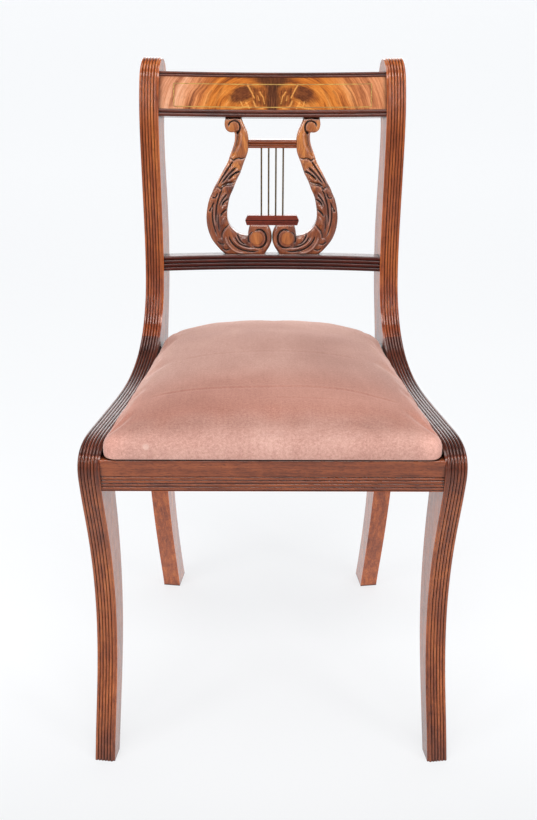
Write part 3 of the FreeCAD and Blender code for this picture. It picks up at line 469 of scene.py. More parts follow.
def beech(name, axis, seed):
    g = Mat(name)
    P = g.coords()
    a, b, c = grain_frame(axis)
    u, v, w = g.vmath("DOT_PRODUCT", P, a), g.vmath("DOT_PRODUCT", P, b), g.vmath("DOT_PRODUCT", P, c)

    def at(ku, kv):
        return g.vec(g.math("MULTIPLY_ADD", u, ku, seed), g.math("MULTIPLY", v, kv), g.math("MULTIPLY", w, kv))

    n1, n2 = g.noise(at(5.0, 70.0), 1.0, 3.0, 0.6, 0.3), g.noise(at(90.0, 900.0), 1.0, 2.0, 0.6)
    tone = g.math("ADD", g.math("MULTIPLY", n1, 0.65), g.math("MULTIPLY", n2, 0.35))
    col = g.ramp(tone, [(0.32, srgb(150, 112, 76)), (0.52, srgb(196, 160, 118)), (0.7, srgb(216, 184, 142))], "LINEAR")
    col = g.mix(g.math("MULTIPLY", g.step(n2, 0.62, 0.74), 0.5), col, srgb(118, 80, 52))
    g.principled(Base_Color=col, Roughness=g.math("MULTIPLY_ADD", n2, 0.2, 0.55), Normal=g.bump(n2, 0.3, 0.0003))
    return g.m


for k, n in enumerate(("corner_block_front_right", "corner_block_front_left", "corner_block_rear_right", "corner_block_rear_left",
                       "seat_frame_front", "seat_frame_back", "knee_dowels")):
    assign(n, beech("beech_" + n, (1, 0, 0), 3.0 + k))
for k, n in enumerate(("seat_frame_right", "seat_frame_left")):
    assign(n, beech("beech_" + n, (0, 1, 0), 13.0 + k))


def weave(name, base, other, per_m, rough=0.9):
    g = Mat(name)
    P = g.coords()
    x, y = g.vmath("DOT_PRODUCT", P, (1, 0, 0)), g.vmath("DOT_PRODUCT", P, (0, 1, 0))
    wx = g.math("SINE", g.math("MULTIPLY", x, per_m * 6.283))
    wy = g.math("SINE", g.math("MULTIPLY", y, per_m * 6.283))
    k = g.math("MULTIPLY", wx, wy)
    n = g.noise(P, 300.0, 3.0, 0.6)
    t = g.math("ADD", g.math("MULTIPLY_ADD", k, 0.3, 0.5), g.math("MULTIPLY_ADD", n, 0.6, -0.3))
    col = g.mix(g.step(t, 0.2, 0.8), other, base)
    g.principled(Base_Color=col, Roughness=rough, Normal=g.bump(t, 0.6, 0.0006), Sheen_Weight=0.2, Sheen_Roughness=0.5)
    return g.m


jute = weave("jute_webbing", srgb(188, 160, 118), srgb(118, 92, 60), 420.0)
hess = weave("hessian", srgb(172, 146, 104), srgb(92, 72, 46), 640.0)
assign("webbing_lengthwise", jute)
assign("webbing_crosswise", jute)
assign("hessian", hess)

# ------------------------------------------------------------------ velvet
def velvet_material():
    g = Mat("velvet")
    P = g.coords()
    # pile laid by hand and by use: broad soft patches, fine flecks, rows of the backing
    n1 = g.noise(P, 9.0, 3.0, 0.5, 0.4)
    n2 = g.noise(P, 700.0, 2.0, 0.75)
    xs = g.vmath("DOT_PRODUCT", P, (1, 0, 0))
    ys = g.vmath("DOT_PRODUCT", P, (0, 1, 0))
    zs = g.vmath("DOT_PRODUCT", P, (0, 0, 1))
    rows = g.noise(g.vec(g.math("MULTIPLY", xs, 260.0), g.math("MULTIPLY", ys, 950.0), g.math("MULTIPLY", zs, 260.0)), 1.0, 2.0, 0.6)
    cols = g.noise(g.vec(g.math("MULTIPLY", xs, 420.0), g.math("MULTIPLY", ys, 26.0), g.math("MULTIPLY", zs, 26.0)), 1.0, 2.0, 0.6)
    t = g.math("ADD", g.math("MULTIPLY", n1, 0.34), g.math("MULTIPLY", n2, 0.26))
    t = g.math("ADD", t, g.math("MULTIPLY", rows, 0.22))
    t = g.math("ADD", g.math("ADD", t, 0.055), g.math("MULTIPLY", cols, 0.07))
    col = g.ramp(t, [(0.36, srgb(146, 102, 91)), (0.50, srgb(174, 131, 119)), (0.64, srgb(196, 156, 144))], "LINEAR")
    # painted shade in a deeper band behind the front roll, and painted light over the front roll
    wav = g.math("MULTIPLY_ADD", g.noise(g.vec(g.math("MULTIPLY", xs, 14.0), 0.0, 3.0), 1.0, 2.0, 0.5), 0.030, -0.015)
    yw = g.math("ADD", ys, wav)
    band = g.math("MULTIPLY", g.step(yw, -0.198, -0.172), g.step(yw, -0.145, -0.045, 1.0, 0.0))
    col = g.mix(g.math("MULTIPLY", band, 0.75), col, g.mix(1.0, col, (1.02, 0.84, 0.78), "MULTIPLY"))
    front = g.step(g.math("ADD", ys, g.math("MULTIPLY", zs, 0.5)), 0.050, 0.022, 0.0, 1.0)
    col = g.mix(front, col, g.mix(1.0, col, (1.50, 1.58, 1.62), "MULTIPLY"))
    # painted sheen: lighter towards the sides
    side_sheen = g.step(g.math("ADD", g.math("ABSOLUTE", xs), g.math("MULTIPLY", ys, 0.1326)), 0.135, 0.178)
    col = g.mix(g.math("MULTIPLY", side_sheen, 0.8), col, g.mix(1.0, col, (1.32, 1.26, 1.25), "MULTIPLY"))
    # a small pale spot low on the front
    spot = g.vmath("DISTANCE", P, (-0.1500, -0.2060, 0.4580))
    col = g.mix(g.math("MULTIPLY", g.step(spot, 0.0020, 0.0052, 1.0, 0.0), 0.35), col, srgb(248, 222, 208))
    h = g.math("ADD", n2, g.math("MULTIPLY", rows, 0.6))
    g.principled(Base_Color=col, Roughness=0.9, Sheen_Weight=0.75, Sheen_Roughness=0.38, Sheen_Tint=srgb(255, 226, 216),
                 Normal=g.bump(h, 0.35, 0.0006), Specular_IOR_Level=0.15)
    return g.m


velvet = velvet_material()
g = Mat("hair_stuffing")
P = g.coords()
n = g.noise(P, 420.0, 4.0, 0.7, 1.5)
g.principled(Base_Color=g.mix(n, srgb(46, 38, 32), srgb(120, 100, 80)), Roughness=0.95, Normal=g.bump(n, 0.8, 0.002))
assign("seat_pad", g.m)


# ------------------------------------------------------------------ the stuffed seat
SEAT_Y0, SEAT_Y1, SEAT_Z0 = 0.0003 - YC, 0.3762 - YC, 0.4406
TURN_IN, STUFFING_Z0 = 0.020, 0.4593


def seat_half(y, gap):
    """Half the seat's width at depth y, with a gap to each side frame."""
    return (HALF_FRONT * CA - 0.027 - gap * CA - (y + YC) * SA) / CA


def smooth(a, b, t):
    t = np.clip((t - a) / (b - a), 0.0, 1.0)
    return t * t * (3.0 - 2.0 * t)


def round_corners(x, y, inset):
    """How far along the line from the seat's middle a point of its square-cornered outline
    may lie, once the corners are rounded: 17 mm at the front, 53 mm at the back."""
    y0, y1 = SEAT_Y0 + inset, SEAT_Y1 - inset
    lam = np.ones_like(x)
    lo_, hi_ = np.zeros_like(x), np.ones_like(x)
    nx_side, ny_side = CA, SA          # outward normal of the right-hand side
    c0 = (0.0, (y0 + y1) * 0.5)

    def outside(px, py):
        bad = np.zeros(px.shape, bool)
        apx = np.abs(px)
        for yy, r, down_ in ((y0, max(0.0165 - inset, 0.002), -1.0), (y1, max(0.0525 - inset, 0.002), 1.0)):
            # centre of the arc: r from the end and r from the side
            cy = yy - down_ * r
            cx = (seat_half(cy, 0.0007) - inset) - r / CA
            vx, vy = apx - cx, py - cy
            between = (down_ * (nx_side * vy - ny_side * vx) > 0) & (vx > 0)
            bad |= between & (vx * vx + vy * vy > r * r)
        return bad

    for _ in range(26):
        mid = (lo_ + hi_) * 0.5
        o_ = outside(c0[0] + (x - c0[0]) * mid, c0[1] + (y - c0[1]) * mid)
        hi_ = np.where(o_, mid, hi_)
        lo_ = np.where(o_, lo_, mid)
    full = ~outside(x, y)
    return np.where(full, 1.0, lo_), c0


def seat_xy(u, v, inset):
    """A point of the seat's plan. u and v run from -1 to 1."""
    u, v = np.atleast_1d(np.asarray(u, float)), np.atleast_1d(np.asarray(v, float))
    y0, y1 = SEAT_Y0 + inset, SEAT_Y1 - inset

    def square(uu, vv):
        yy = y0 + (vv + 1.0) * 0.5 * (y1 - y0)
        return uu * (seat_half(yy, 0.0007) - inset), yy

    m_ = np.maximum(np.abs(u), np.abs(v))
    safe = np.maximum(m_, 1e-6)
    bx, by = square(u / safe, v / safe)
    lam, c0 = round_corners(bx, by, inset)
    k = 1.0 - (1.0 - lam) * m_ ** 5
    px, py = square(u, v)
    return c0[0] + (px - c0[0]) * k, c0[1] + (py - c0[1]) * k


def seat_top(x, y):
    """Height of the stuffed top before its edge is rounded off."""
    v = (y - SEAT_Y0) / (SEAT_Y1 - SEAT_Y0)
    u = np.abs(x) / seat_half(y, 0.0)
    crown = 0.0335 * (1.0 - u ** 2.6) * (1.0 - np.clip(np.abs(v - 0.50) / 0.5, 0, 1) ** 3.4)
    side = 0.4615 - 0.003 * smooth(0.0, 0.25, 0.25 - v) + 0.010 * smooth(0.75, 1.0, v) * (1 - u ** 2) + 0.014 * (1 - u ** 2) * smooth(0.25, 0.0, v)
    return side + crown


def build_seat(name, nx, ny):
    us = np.sin(np.linspace(-1, 1, nx) * math.pi / 2 * 0.86) / math.sin(math.pi / 2 * 0.86)
    vs = np.sin(np.linspace(-1, 1, ny) * math.pi / 2 * 0.86) / math.sin(math.pi / 2 * 0.86)
    verts, index = [], {}

    def add(p):
        verts.append(p)
        return len(verts) - 1

    def grid(inset, zf, tag):
        V_, U_ = np.meshgrid(vs, us, indexing="ij")
        X, Y = seat_xy(U_.ravel(), V_.ravel(), inset)
        for n_, (x, y) in enumerate(zip(X, Y)):
            j, i = divmod(n_, nx)
            index[tag, i, j] = add((float(x), float(y), float(zf(x, y))))

    # top and bottom faces, then the rolled edge between them
    top_in = 0.0085
    grid(top_in, lambda x, y: seat_top(x, y) + 0.0055, "t")
    # the stuffing lies on the hessian, and the cover turns in under the frame
    grid(TURN_IN, lambda x, y: STUFFING_Z0, "b")
    faces = []
    for j in range(ny - 1):
        for i in range(nx - 1):
            faces.append((index["t", i, j], index["t", i + 1, j], index["t", i + 1, j + 1], index["t", i, j + 1]))
            faces.append((index["b", i, j + 1], index["b", i + 1, j + 1], index["b", i + 1, j], index["b", i, j]))
    rim = [(i, 0) for i in range(nx)] + [(nx - 1, j) for j in range(1, ny)] + [(i, ny - 1) for i in range(nx - 2, -1, -1)] + [(0, j) for j in range(ny - 2, 0, -1)]
    rows = []
    wall = [(0.0050, 0.0030), (0.0022, -0.0005), (0.0006, -0.0060), (0.0, None), (0.0, 0.0062), (0.0, 0.0030), (0.0003, 0.0014), (0.0012, 0.0004)]
    ru, rv = np.array([us[i] for i, j in rim]), np.array([vs[j] for i, j in rim])
    xt, yt = seat_xy(ru, rv, top_in)
    zt = seat_top(xt, yt)
    for n_, (inset, dz) in enumerate(wall):
        X, Y = seat_xy(ru, rv, inset)
        if dz is None:
            Z = (zt - 0.006 + SEAT_Z0 + 0.0062) * 0.5
        elif n_ > 3:
            Z = np.full(len(rim), SEAT_Z0 + dz)
        else:
            Z = zt + dz
        rows.append([add((float(a_), float(b_), float(c_))) for a_, b_, c_ in zip(X, Y, Z)])
    for inset, z in ((0.0040, SEAT_Z0), (TURN_IN, SEAT_Z0), (TURN_IN, SEAT_Z0 + 0.009)):
        X, Y = seat_xy(ru, rv, inset)
        rows.append([add((float(a_), float(b_), z)) for a_, b_ in zip(X, Y)])
    top_row = [index["t", i, j] for i, j in rim]
    bot_row = [index["b", i, j] for i, j in rim]
    chain = [top_row] + rows + [bot_row]
    for a, b in zip(chain[:-1], chain[1:]):
        for k in range(len(rim)):
            k2 = (k + 1) % len(rim)
            faces.append((a[k], b[k], b[k2], a[k2]))
    me = bpy.data.meshes.new(name)
    me.from_pydata(verts, [], faces)
    me.validate()
    me.update()
    o = bpy.data.objects.new(name, me)
    bpy.context.scene.collection.objects.link(o)
    bm = bmesh.new()
    bm.from_mesh(me)
    bmesh.ops.recalc_face_normals(bm, faces=bm.faces)
    bm.to_mesh(me)
    bm.free()
    return o


def apply_all(o):
    dg = bpy.context.evaluated_depsgraph_get()
    me = bpy.data.meshes.new_from_object(o.evaluated_get(dg))
    o.modifiers.clear()
    old = o.data
    o.data = me
    bpy.data.meshes.remove(old)


cushion = build_seat("seat_cushion", 66, 58)
start = np.array([v.co for v in cushion.data.vertices])
nx_, ny_ = 66, 58
inner = set(range(nx_ * ny_, 2 * nx_ * ny_))
pin = cushion.vertex_groups.new(name="pin")
for i, p in enumerate(start):
    k = 1.0 if p[2] < SEAT_Z0 + 0.0035 or i in inner else max(0.0, 1.0 - (p[2] - SEAT_Z0 - 0.0035) / 0.010) * 0.9
    if k > 0.01:
        pin.add([i], k, "REPLACE")
cl = cushion.modifiers.new("cloth", "CLOTH")
st = cl.settings
st.quality = 6
st.mass = 0.25
st.effector_weights.gravity = 0.0
st.vertex_group_mass = "pin"
st.use_pressure = True
st.uniform_pressure_force = 3.0
st.tension_stiffness = 40.0
st.compression_stiffness = 22.0
st.shear_stiffness = 16.0
st.bending_stiffness = 1.2
st.shrink_min = -0.012
cl.collision_settings.use_collision = False
scn = bpy.context.scene
for f in range(1, 21):
    scn.frame_set(f)
apply_all(cushion)
scn.frame_set(1)
now = np.array([v.co for v in cushion.data.vertices])
d = now - start
L = np.linalg.norm(d, axis=1, keepdims=True)
d *= np.minimum(1.0, 0.005 / np.maximum(L, 1e-9))
# below the turn of the edge the cover lies against the frame
d[:, :2] *= smooth(0.450, 0.468, start[:, 2])[:, None]
d[list(inner)] = 0.0
now = start + d
cushion.data.vertices.foreach_set("co", now.astype(np.float32).ravel())
sub = cushion.modifiers.new("sub", "SUBSURF")
sub.levels = sub.render_levels = 2
apply_all(cushion)

# the side walls stay clear of the side frames; pressed creases cross the top
co = np.array([v.co for v in cushion.data.vertices])
lim = seat_half(co[:, 1], 0.0004)
co[:, 0] = np.clip(co[:, 0], -lim, lim)
co[:, 2] = np.maximum(co[:, 2], SEAT_Z0)
top = smooth(0.472, 0.484, co[:, 2])


def crease(x0, x1, line, depth, width):
    """A pressed fold across the top: a small step with a groove in front of it."""
    y = line(co[:, 0])
    run = smooth(x0 - 0.012, x0 + 0.012, co[:, 0]) * (1.0 - smooth(x1 - 0.012, x1 + 0.012, co[:, 0]))
    d = (co[:, 1] - y) / width
    co[:, 2] += top * run * depth * (np.exp(-(d - 0.5) ** 2) * 0.75 - np.exp(-(d + 0.7) ** 2))


crease(-0.145, 0.150, lambda x: 0.0840 - YC + 0.0012 * np.sin(x * 40) - 0.012 * smooth(0.085, 0.160, x), 0.0006, 0.0022)
crease(-0.115, 0.110, lambda x: 0.1930 - YC + 0.0015 * np.sin(x * 23 + 1), 0.00025, 0.0026)
crease(0.000, 0.082, lambda x: 0.0555 - YC + 0.0 * x, 0.0003, 0.0020)
cushion.data.vertices.foreach_set("co", co.astype(np.float32).ravel())
cushion.data.update()
for p in cushion.data.polygons:
    p.use_smooth = True
cushion.data.materials.clear()
cushion.data.materials.append(velvet)
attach(cushion, "drop_in_seat")
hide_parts("seat_cover", "seat_pad")

# ------------------------------------------------------------------ the carved lyre arms
# Right-hand arm, millimetres: (x, z) on the lyre's front plane, z measured up that plane.
ARM_OUTER = [(65.8, 777.6), (65.8, 776.5), (66.8, 772.2), (66.9, 767.4), (65.3, 762), (61.8, 758.6), (57.6, 757.5), (53.7, 757.5), (52.8, 755.2), (52.8, 749), (54, 742.2), (56.2, 735.3), (58.9, 728.3), (61.5, 721.4), (62.9, 717.2), (66.3, 710.9), (70.3, 703.9), (74.5, 696.1), (79, 687.6), (83.4, 679.8), (86.8, 672), (90.1, 664.8), (92.4, 656.2), (94, 647.5), (94.8, 638.8), (94.5, 630.1), (93.1, 621.3), (90.4, 612.5), (86.6, 604.4), (81.2, 597), (74.7, 589.6), (69.7, 585.2), (66.5, 582.6)]
ARM_INNER = [(43.2, 777.6), (43.2, 776.6), (41.1, 771.6), (38.3, 765.5), (35.5, 759.3), (33.9, 752.5), (33.4, 746.3), (33.7, 738.1), (34.5, 731.2), (36.8, 724.2), (39.7, 717.3), (42.6, 708.9), (45, 701.9), (48.3, 695.5), (52.4, 687), (55.6, 678.5), (59.3, 670.6), (61.5, 663.5), (63.5, 653.4), (64.6, 643.3), (64, 634.6), (61.6, 627.3), (57.6, 621.4), (51.9, 616.3), (46.1, 613), (40.3, 611.5), (35.1, 610.9)]
ARM_VOLUTE = [(35.1, 610.9), (34.8, 615.6), (33.7, 621.5), (32, 627.7), (6.2, 627.7), (2.6, 620.9), (0.8, 615), (0.2, 608.1), (1.1, 601.7), (3.9, 594.7), (8, 588.3), (11.2, 582.8)]
# kind, line, depth or height, half-width (a scarp: how far its raised side reaches), end that fades
CARVING = [
    ("groove", [(31.6, 599.7), (34.2, 605.5), (33.4, 612.0), (29.5, 616.2), (25.5, 618.0)], 1.1, 0.8, "b"),
    ("groove", [(49, 757.9), (48.2, 750.4), (50.2, 742.2), (53.4, 733.9), (57.3, 725.6), (59.4, 721.4)], 1.5, 2.3, "e"),
    ("ridge", [(45.3, 759.3), (43.7, 751.8), (45.4, 742.2), (49.5, 733.2), (53.7, 725.6)], 0.7, 1.1, "b"),
    ("groove", [(61.1, 764), (61.1, 768.1), (59.2, 771.5), (55.4, 773.5), (51.2, 773.6), (47.2, 771.1), (45.3, 765.7), (46.2, 760.3), (49, 756.7)], 2.2, 1.05, "s"),
    ("scarp", [(63.7, 718.3), (61.6, 720.5), (59.1, 721.4), (56.6, 719.7), (54.5, 718.3), (52.1, 720.3), (47.9, 721.7), (43.2, 720.9), (38, 722.8)], 1.7, 4.5, ""),
    ("groove", [(56.4, 717.2), (59.5, 712.3), (65, 704.6), (70.8, 695.4), (76.2, 686.9), (79.8, 681.3)], 1.4, 0.9, "e"),
    ("ridge", [(52.4, 713.7), (57, 708.8), (63.6, 701.8), (70, 693.6), (75.5, 685.1)], 1, 0.9, "b"),
    ("groove", [(49.9, 711), (55.3, 706), (61.8, 699.3), (68.3, 691.6), (73.4, 684.8)], 1.3, 0.8, "b"),
    ("ridge", [(46.5, 708.6), (52.5, 704.4), (59.7, 698.3), (66.9, 690.5), (73.4, 683.1)], 1.1, 0.9, "b"),
    ("groove", [(43.7, 703.8), (49.7, 702.8), (55.4, 700.1), (61.1, 695.5), (65.2, 691.6)], 2.7, 1.1, "e"),
    ("ridge", [(49.5, 696.9), (56.9, 693.1), (64.1, 688.8)], 0.9, 2.2, "b"),
    ("groove", [(52.4, 689.4), (59.8, 687.4), (66.9, 686), (74.1, 682)], 1.2, 1.9, "e"),
    ("scarp", [(84.5, 674), (81.6, 678.3), (79.1, 681), (75.6, 680.3), (72.3, 678), (69.6, 682), (65.3, 683.9), (59.8, 683.9), (53.4, 685.7)], 1.6, 5.5, ""),
    ("groove", [(86.3, 667.7), (82.2, 666.3), (79.2, 669.4), (77.9, 674.9)], 1.3, 0.75, "b"),
    ("groove", [(89.4, 648.3), (86.3, 654), (83, 662)], 1.1, 0.7, "e"),
    ("groove", [(72, 677), (75, 670.6), (77.5, 663.4), (79.5, 654.8), (80.7, 644.7), (80.9, 634.5), (79.9, 624.3)], 1.2, 0.8, "e"),
    ("ridge", [(65.4, 674.9), (70.3, 669.2), (74.4, 662.7), (76.7, 655.5)], 1.1, 0.9, "b"),
    ("groove", [(63.7, 672.8), (68.3, 667), (72.4, 660.6), (75, 653.4)], 1, 0.7, "b"),
    ("ridge", [(64.9, 668.5), (68.9, 664.2), (72.5, 658.4), (74.3, 651.9)], 0.9, 0.8, "b"),
    ("groove", [(60.3, 664.9), (65.5, 663.2), (69.9, 659.9), (72.8, 654.8)], 2.5, 1, "e"),
    ("ridge", [(64.7, 657), (69.1, 653.4), (72.9, 648.3)], 0.8, 1.8, "b"),
    ("groove", [(63.1, 650.1), (67.4, 648.3), (71.5, 644.7), (74.7, 638.9)], 2.5, 1, "e"),
    ("ridge", [(66.4, 639.6), (69.8, 633.1), (72, 625.8)], 0.8, 2.4, "b"),
    ("groove", [(84.5, 660.5), (85.8, 649), (85.7, 637.4), (83.9, 625.8), (80.6, 614), (76.7, 606.7)], 0.9, 0.8, "b"),
    ("groove", [(76.8, 644.7), (78, 634.5), (77.1, 624.3), (75.1, 615.5)], 0.8, 0.7, "b"),
    ("ridge", [(82.8, 656.2), (83.3, 644.7), (83.1, 633.1), (80.8, 621.4)], 0.6, 1, "b"),
    ("scarp", [(71.6, 607.9), (72, 611.8), (70.7, 616.3), (68.4, 620.2), (64.8, 624.3), (60.4, 628.2)], 1.6, 5.5, ""),
    ("groove", [(79.3, 603.4), (73.6, 599.3), (68, 600.5)], 1.1, 0.75, "b"),
    ("groove", [(72.2, 593.1), (66.4, 590.4), (60.5, 593.1)], 1.1, 0.75, "b"),
    ("ridge", [(67.2, 611.9), (66.2, 604.5), (62.2, 597.1), (55.8, 590.7), (47, 586.7), (36.1, 585.3)], 1.3, 1, "b"),
    ("groove", [(62.8, 613.3), (60.7, 606), (56.1, 599), (48.4, 593.1), (38.2, 589.4), (25.8, 588.4), (15.3, 591.7)], 1.5, 0.9, "b"),
    ("ridge", [(58.4, 611.9), (55.2, 605), (49.1, 598.6), (40.4, 594.6), (30.2, 592.3), (20.7, 592.3)], 1, 0.9, "b"),
    ("groove", [(54.1, 611.2), (50.8, 604.5), (45, 599.1), (36.8, 595.7), (28, 594.1)], 1.3, 0.8, "b"),
    ("groove", [(50.4, 616.2), (49, 610.4), (46.5, 604.5), (41.8, 600.3), (36, 598.2)], 2.3, 1, "e"),
    ("groove", [(26.9, 616.2), (21.4, 620.1), (15.6, 620.1), (11, 616.4), (8.4, 609.8), (9.1, 602.4), (12.7, 596.8), (19.3, 594), (26.5, 595.4), (31.6, 599.7)], 2.4, 1.05, "b"),
    ("ridge", [(9.8, 624.5), (4.3, 614.3), (4, 603.9), (7.7, 595.3), (14.1, 589.1), (22.9, 586.4)], 0.6, 1.8, "b"),
]
# centre x, z, radius, height, kind
BUTTONS = [
    (54.3, 765.4, 6.99, 1.3, "disc"),
    (22.5, 608, 11, 1.8, "disc"),
    (81.4, 674.8, 3.87, 0.9, "ball"),
    (87, 660.5, 3.87, 0.8, "ball"),
    (89.4, 647.8, 1.49, -2.4, "hole"),
    (75.3, 604, 3.87, 0.8, "ball"),
    (67.4, 595.6, 3.57, 0.8, "ball"),
    (40.3, 604.6, 5.35, 1.3, "ball"),
    (59.5, 717.2, 2.38, 0.6, "ball"),
    (47.5, 717.2, 4.46, 0.5, "ball"),
    (61.3, 679.2, 4.46, 0.6, "ball"),
    (53.3, 699.7, 3.27, 0.5, "ball"),
]


def catmull(points, step, closed=False):
    """A smooth line through the points, sampled about every step."""
    p = np.array(points, float)
    n = len(p)
    out = []
    last = n if closed else n - 1
    for i in range(last):
        p1, p2 = p[i], p[(i + 1) % n]
        p0 = p[(i - 1) % n] if (closed or i > 0) else 2 * p1 - p2
        p3 = p[(i + 2) % n] if (closed or i + 2 < n) else 2 * p2 - p1
        k = max(1, int(round(np.linalg.norm(p2 - p1) / step)))
        for t in np.arange(k) / k:
            out.append(0.5 * (2 * p1 + (p2 - p0) * t + (2 * p0 - 5 * p1 + 4 * p2 - p3) * t * t + (3 * p1 - p0 - 3 * p2 + p3) * t ** 3))
    if not closed:
        out.append(p[-1])
    return np.array(out)


def to_line(q, line):
    """Distance from each point of q to a line, the side it lies on, and how far along it is."""
    best = np.full(len(q), 1e9)
    side, along = np.zeros(len(q)), np.zeros(len(q))
    seg = np.linalg.norm(line[1:] - line[:-1], axis=1)
    total, run = seg.sum(), 0.0
    for a, b, s in zip(line[:-1], line[1:], seg):
        if s < 1e-9:
            continue
        e = (b - a) / s
        t = np.clip((q - a) @ e, 0, s)
        d = np.linalg.norm(q - (a + t[:, None] * e), axis=1)
        m_ = d < best
        best[m_] = d[m_]
        c = e[0] * (q[:, 1] - a[1]) - e[1] * (q[:, 0] - a[0])
        side[m_] = np.sign(c[m_])
        along[m_] = (run + t[m_]) / total
        run += s
    return best, side, along


def carving_height(q, edge, gain=1.95):
    """Height of the carved face over the lyre's front plane, in mm, at points q."""
    # a full, rounded section that falls to the edges
    d = edge
    h = 1.5 - 3.6 * (1.0 - np.sqrt(np.clip(1.0 - (1.0 - np.clip(d / 6.5, 0, 1)) ** 2, 0, 1)))
    for kind, pts, a, w, fade in CARVING:
        a = a * (gain if a < 2.0 else 1.35)
        line = catmull(pts, 0.8)
        dist, side, t = to_line(q, line)
        k = np.ones(len(q))
        if fade in ("b", "s"):
            k *= smooth(0.0, 0.16, t) * 0.9 + 0.1
        if fade in ("b", "e"):
            k *= smooth(1.0, 0.72, t) * 0.95 + 0.05
        if kind == "groove":
            w_ = w * (0.55 + 0.45 * k)
            h -= a * k * np.exp(-(dist / w_) ** 2)
        elif kind == "ridge":
            h += a * k * np.exp(-(dist / w) ** 2)
        elif kind == "scarp":
            up = np.where(side > 0, 1.0, 0.0)
            near = np.clip(1.0 - np.abs(t - 0.5) * 2.0, 0, 1) ** 0.3
            h += a * 0.55 * near * up * np.exp(-dist / w) * smooth(0.0, 0.5, dist) - a * 0.75 * near * (1 - up) * np.exp(-dist / (w * 0.35)) * smooth(-0.2, 0.3, dist)
    for x, z, r, a, kind in BUTTONS:
        dd = np.hypot(q[:, 0] - x, q[:, 1] - z)
        if kind == "disc":
            inside = dd < r
            dome = a * (0.62 + 0.38 * np.sqrt(np.clip(1 - (dd / r) ** 2, 0, 1)))
            edge_r = smooth(r, r - 0.8, dd)
            h = np.where(inside, h * (1 - edge_r) + dome * edge_r, h)
        elif kind == "ball":
            h += a * np.sqrt(np.clip(1 - (dd / r) ** 2, 0, 1))
        else:
            h += a * np.exp(-(dd / r) ** 2 * 1.4)
    # the chisel leaves the surface very slightly uneven
    h += 0.07 * np.sin(q[:, 0] * 1.9 + np.sin(q[:, 1] * 0.8)) * np.sin(q[:, 1] * 1.7 + 1.1)
    return h


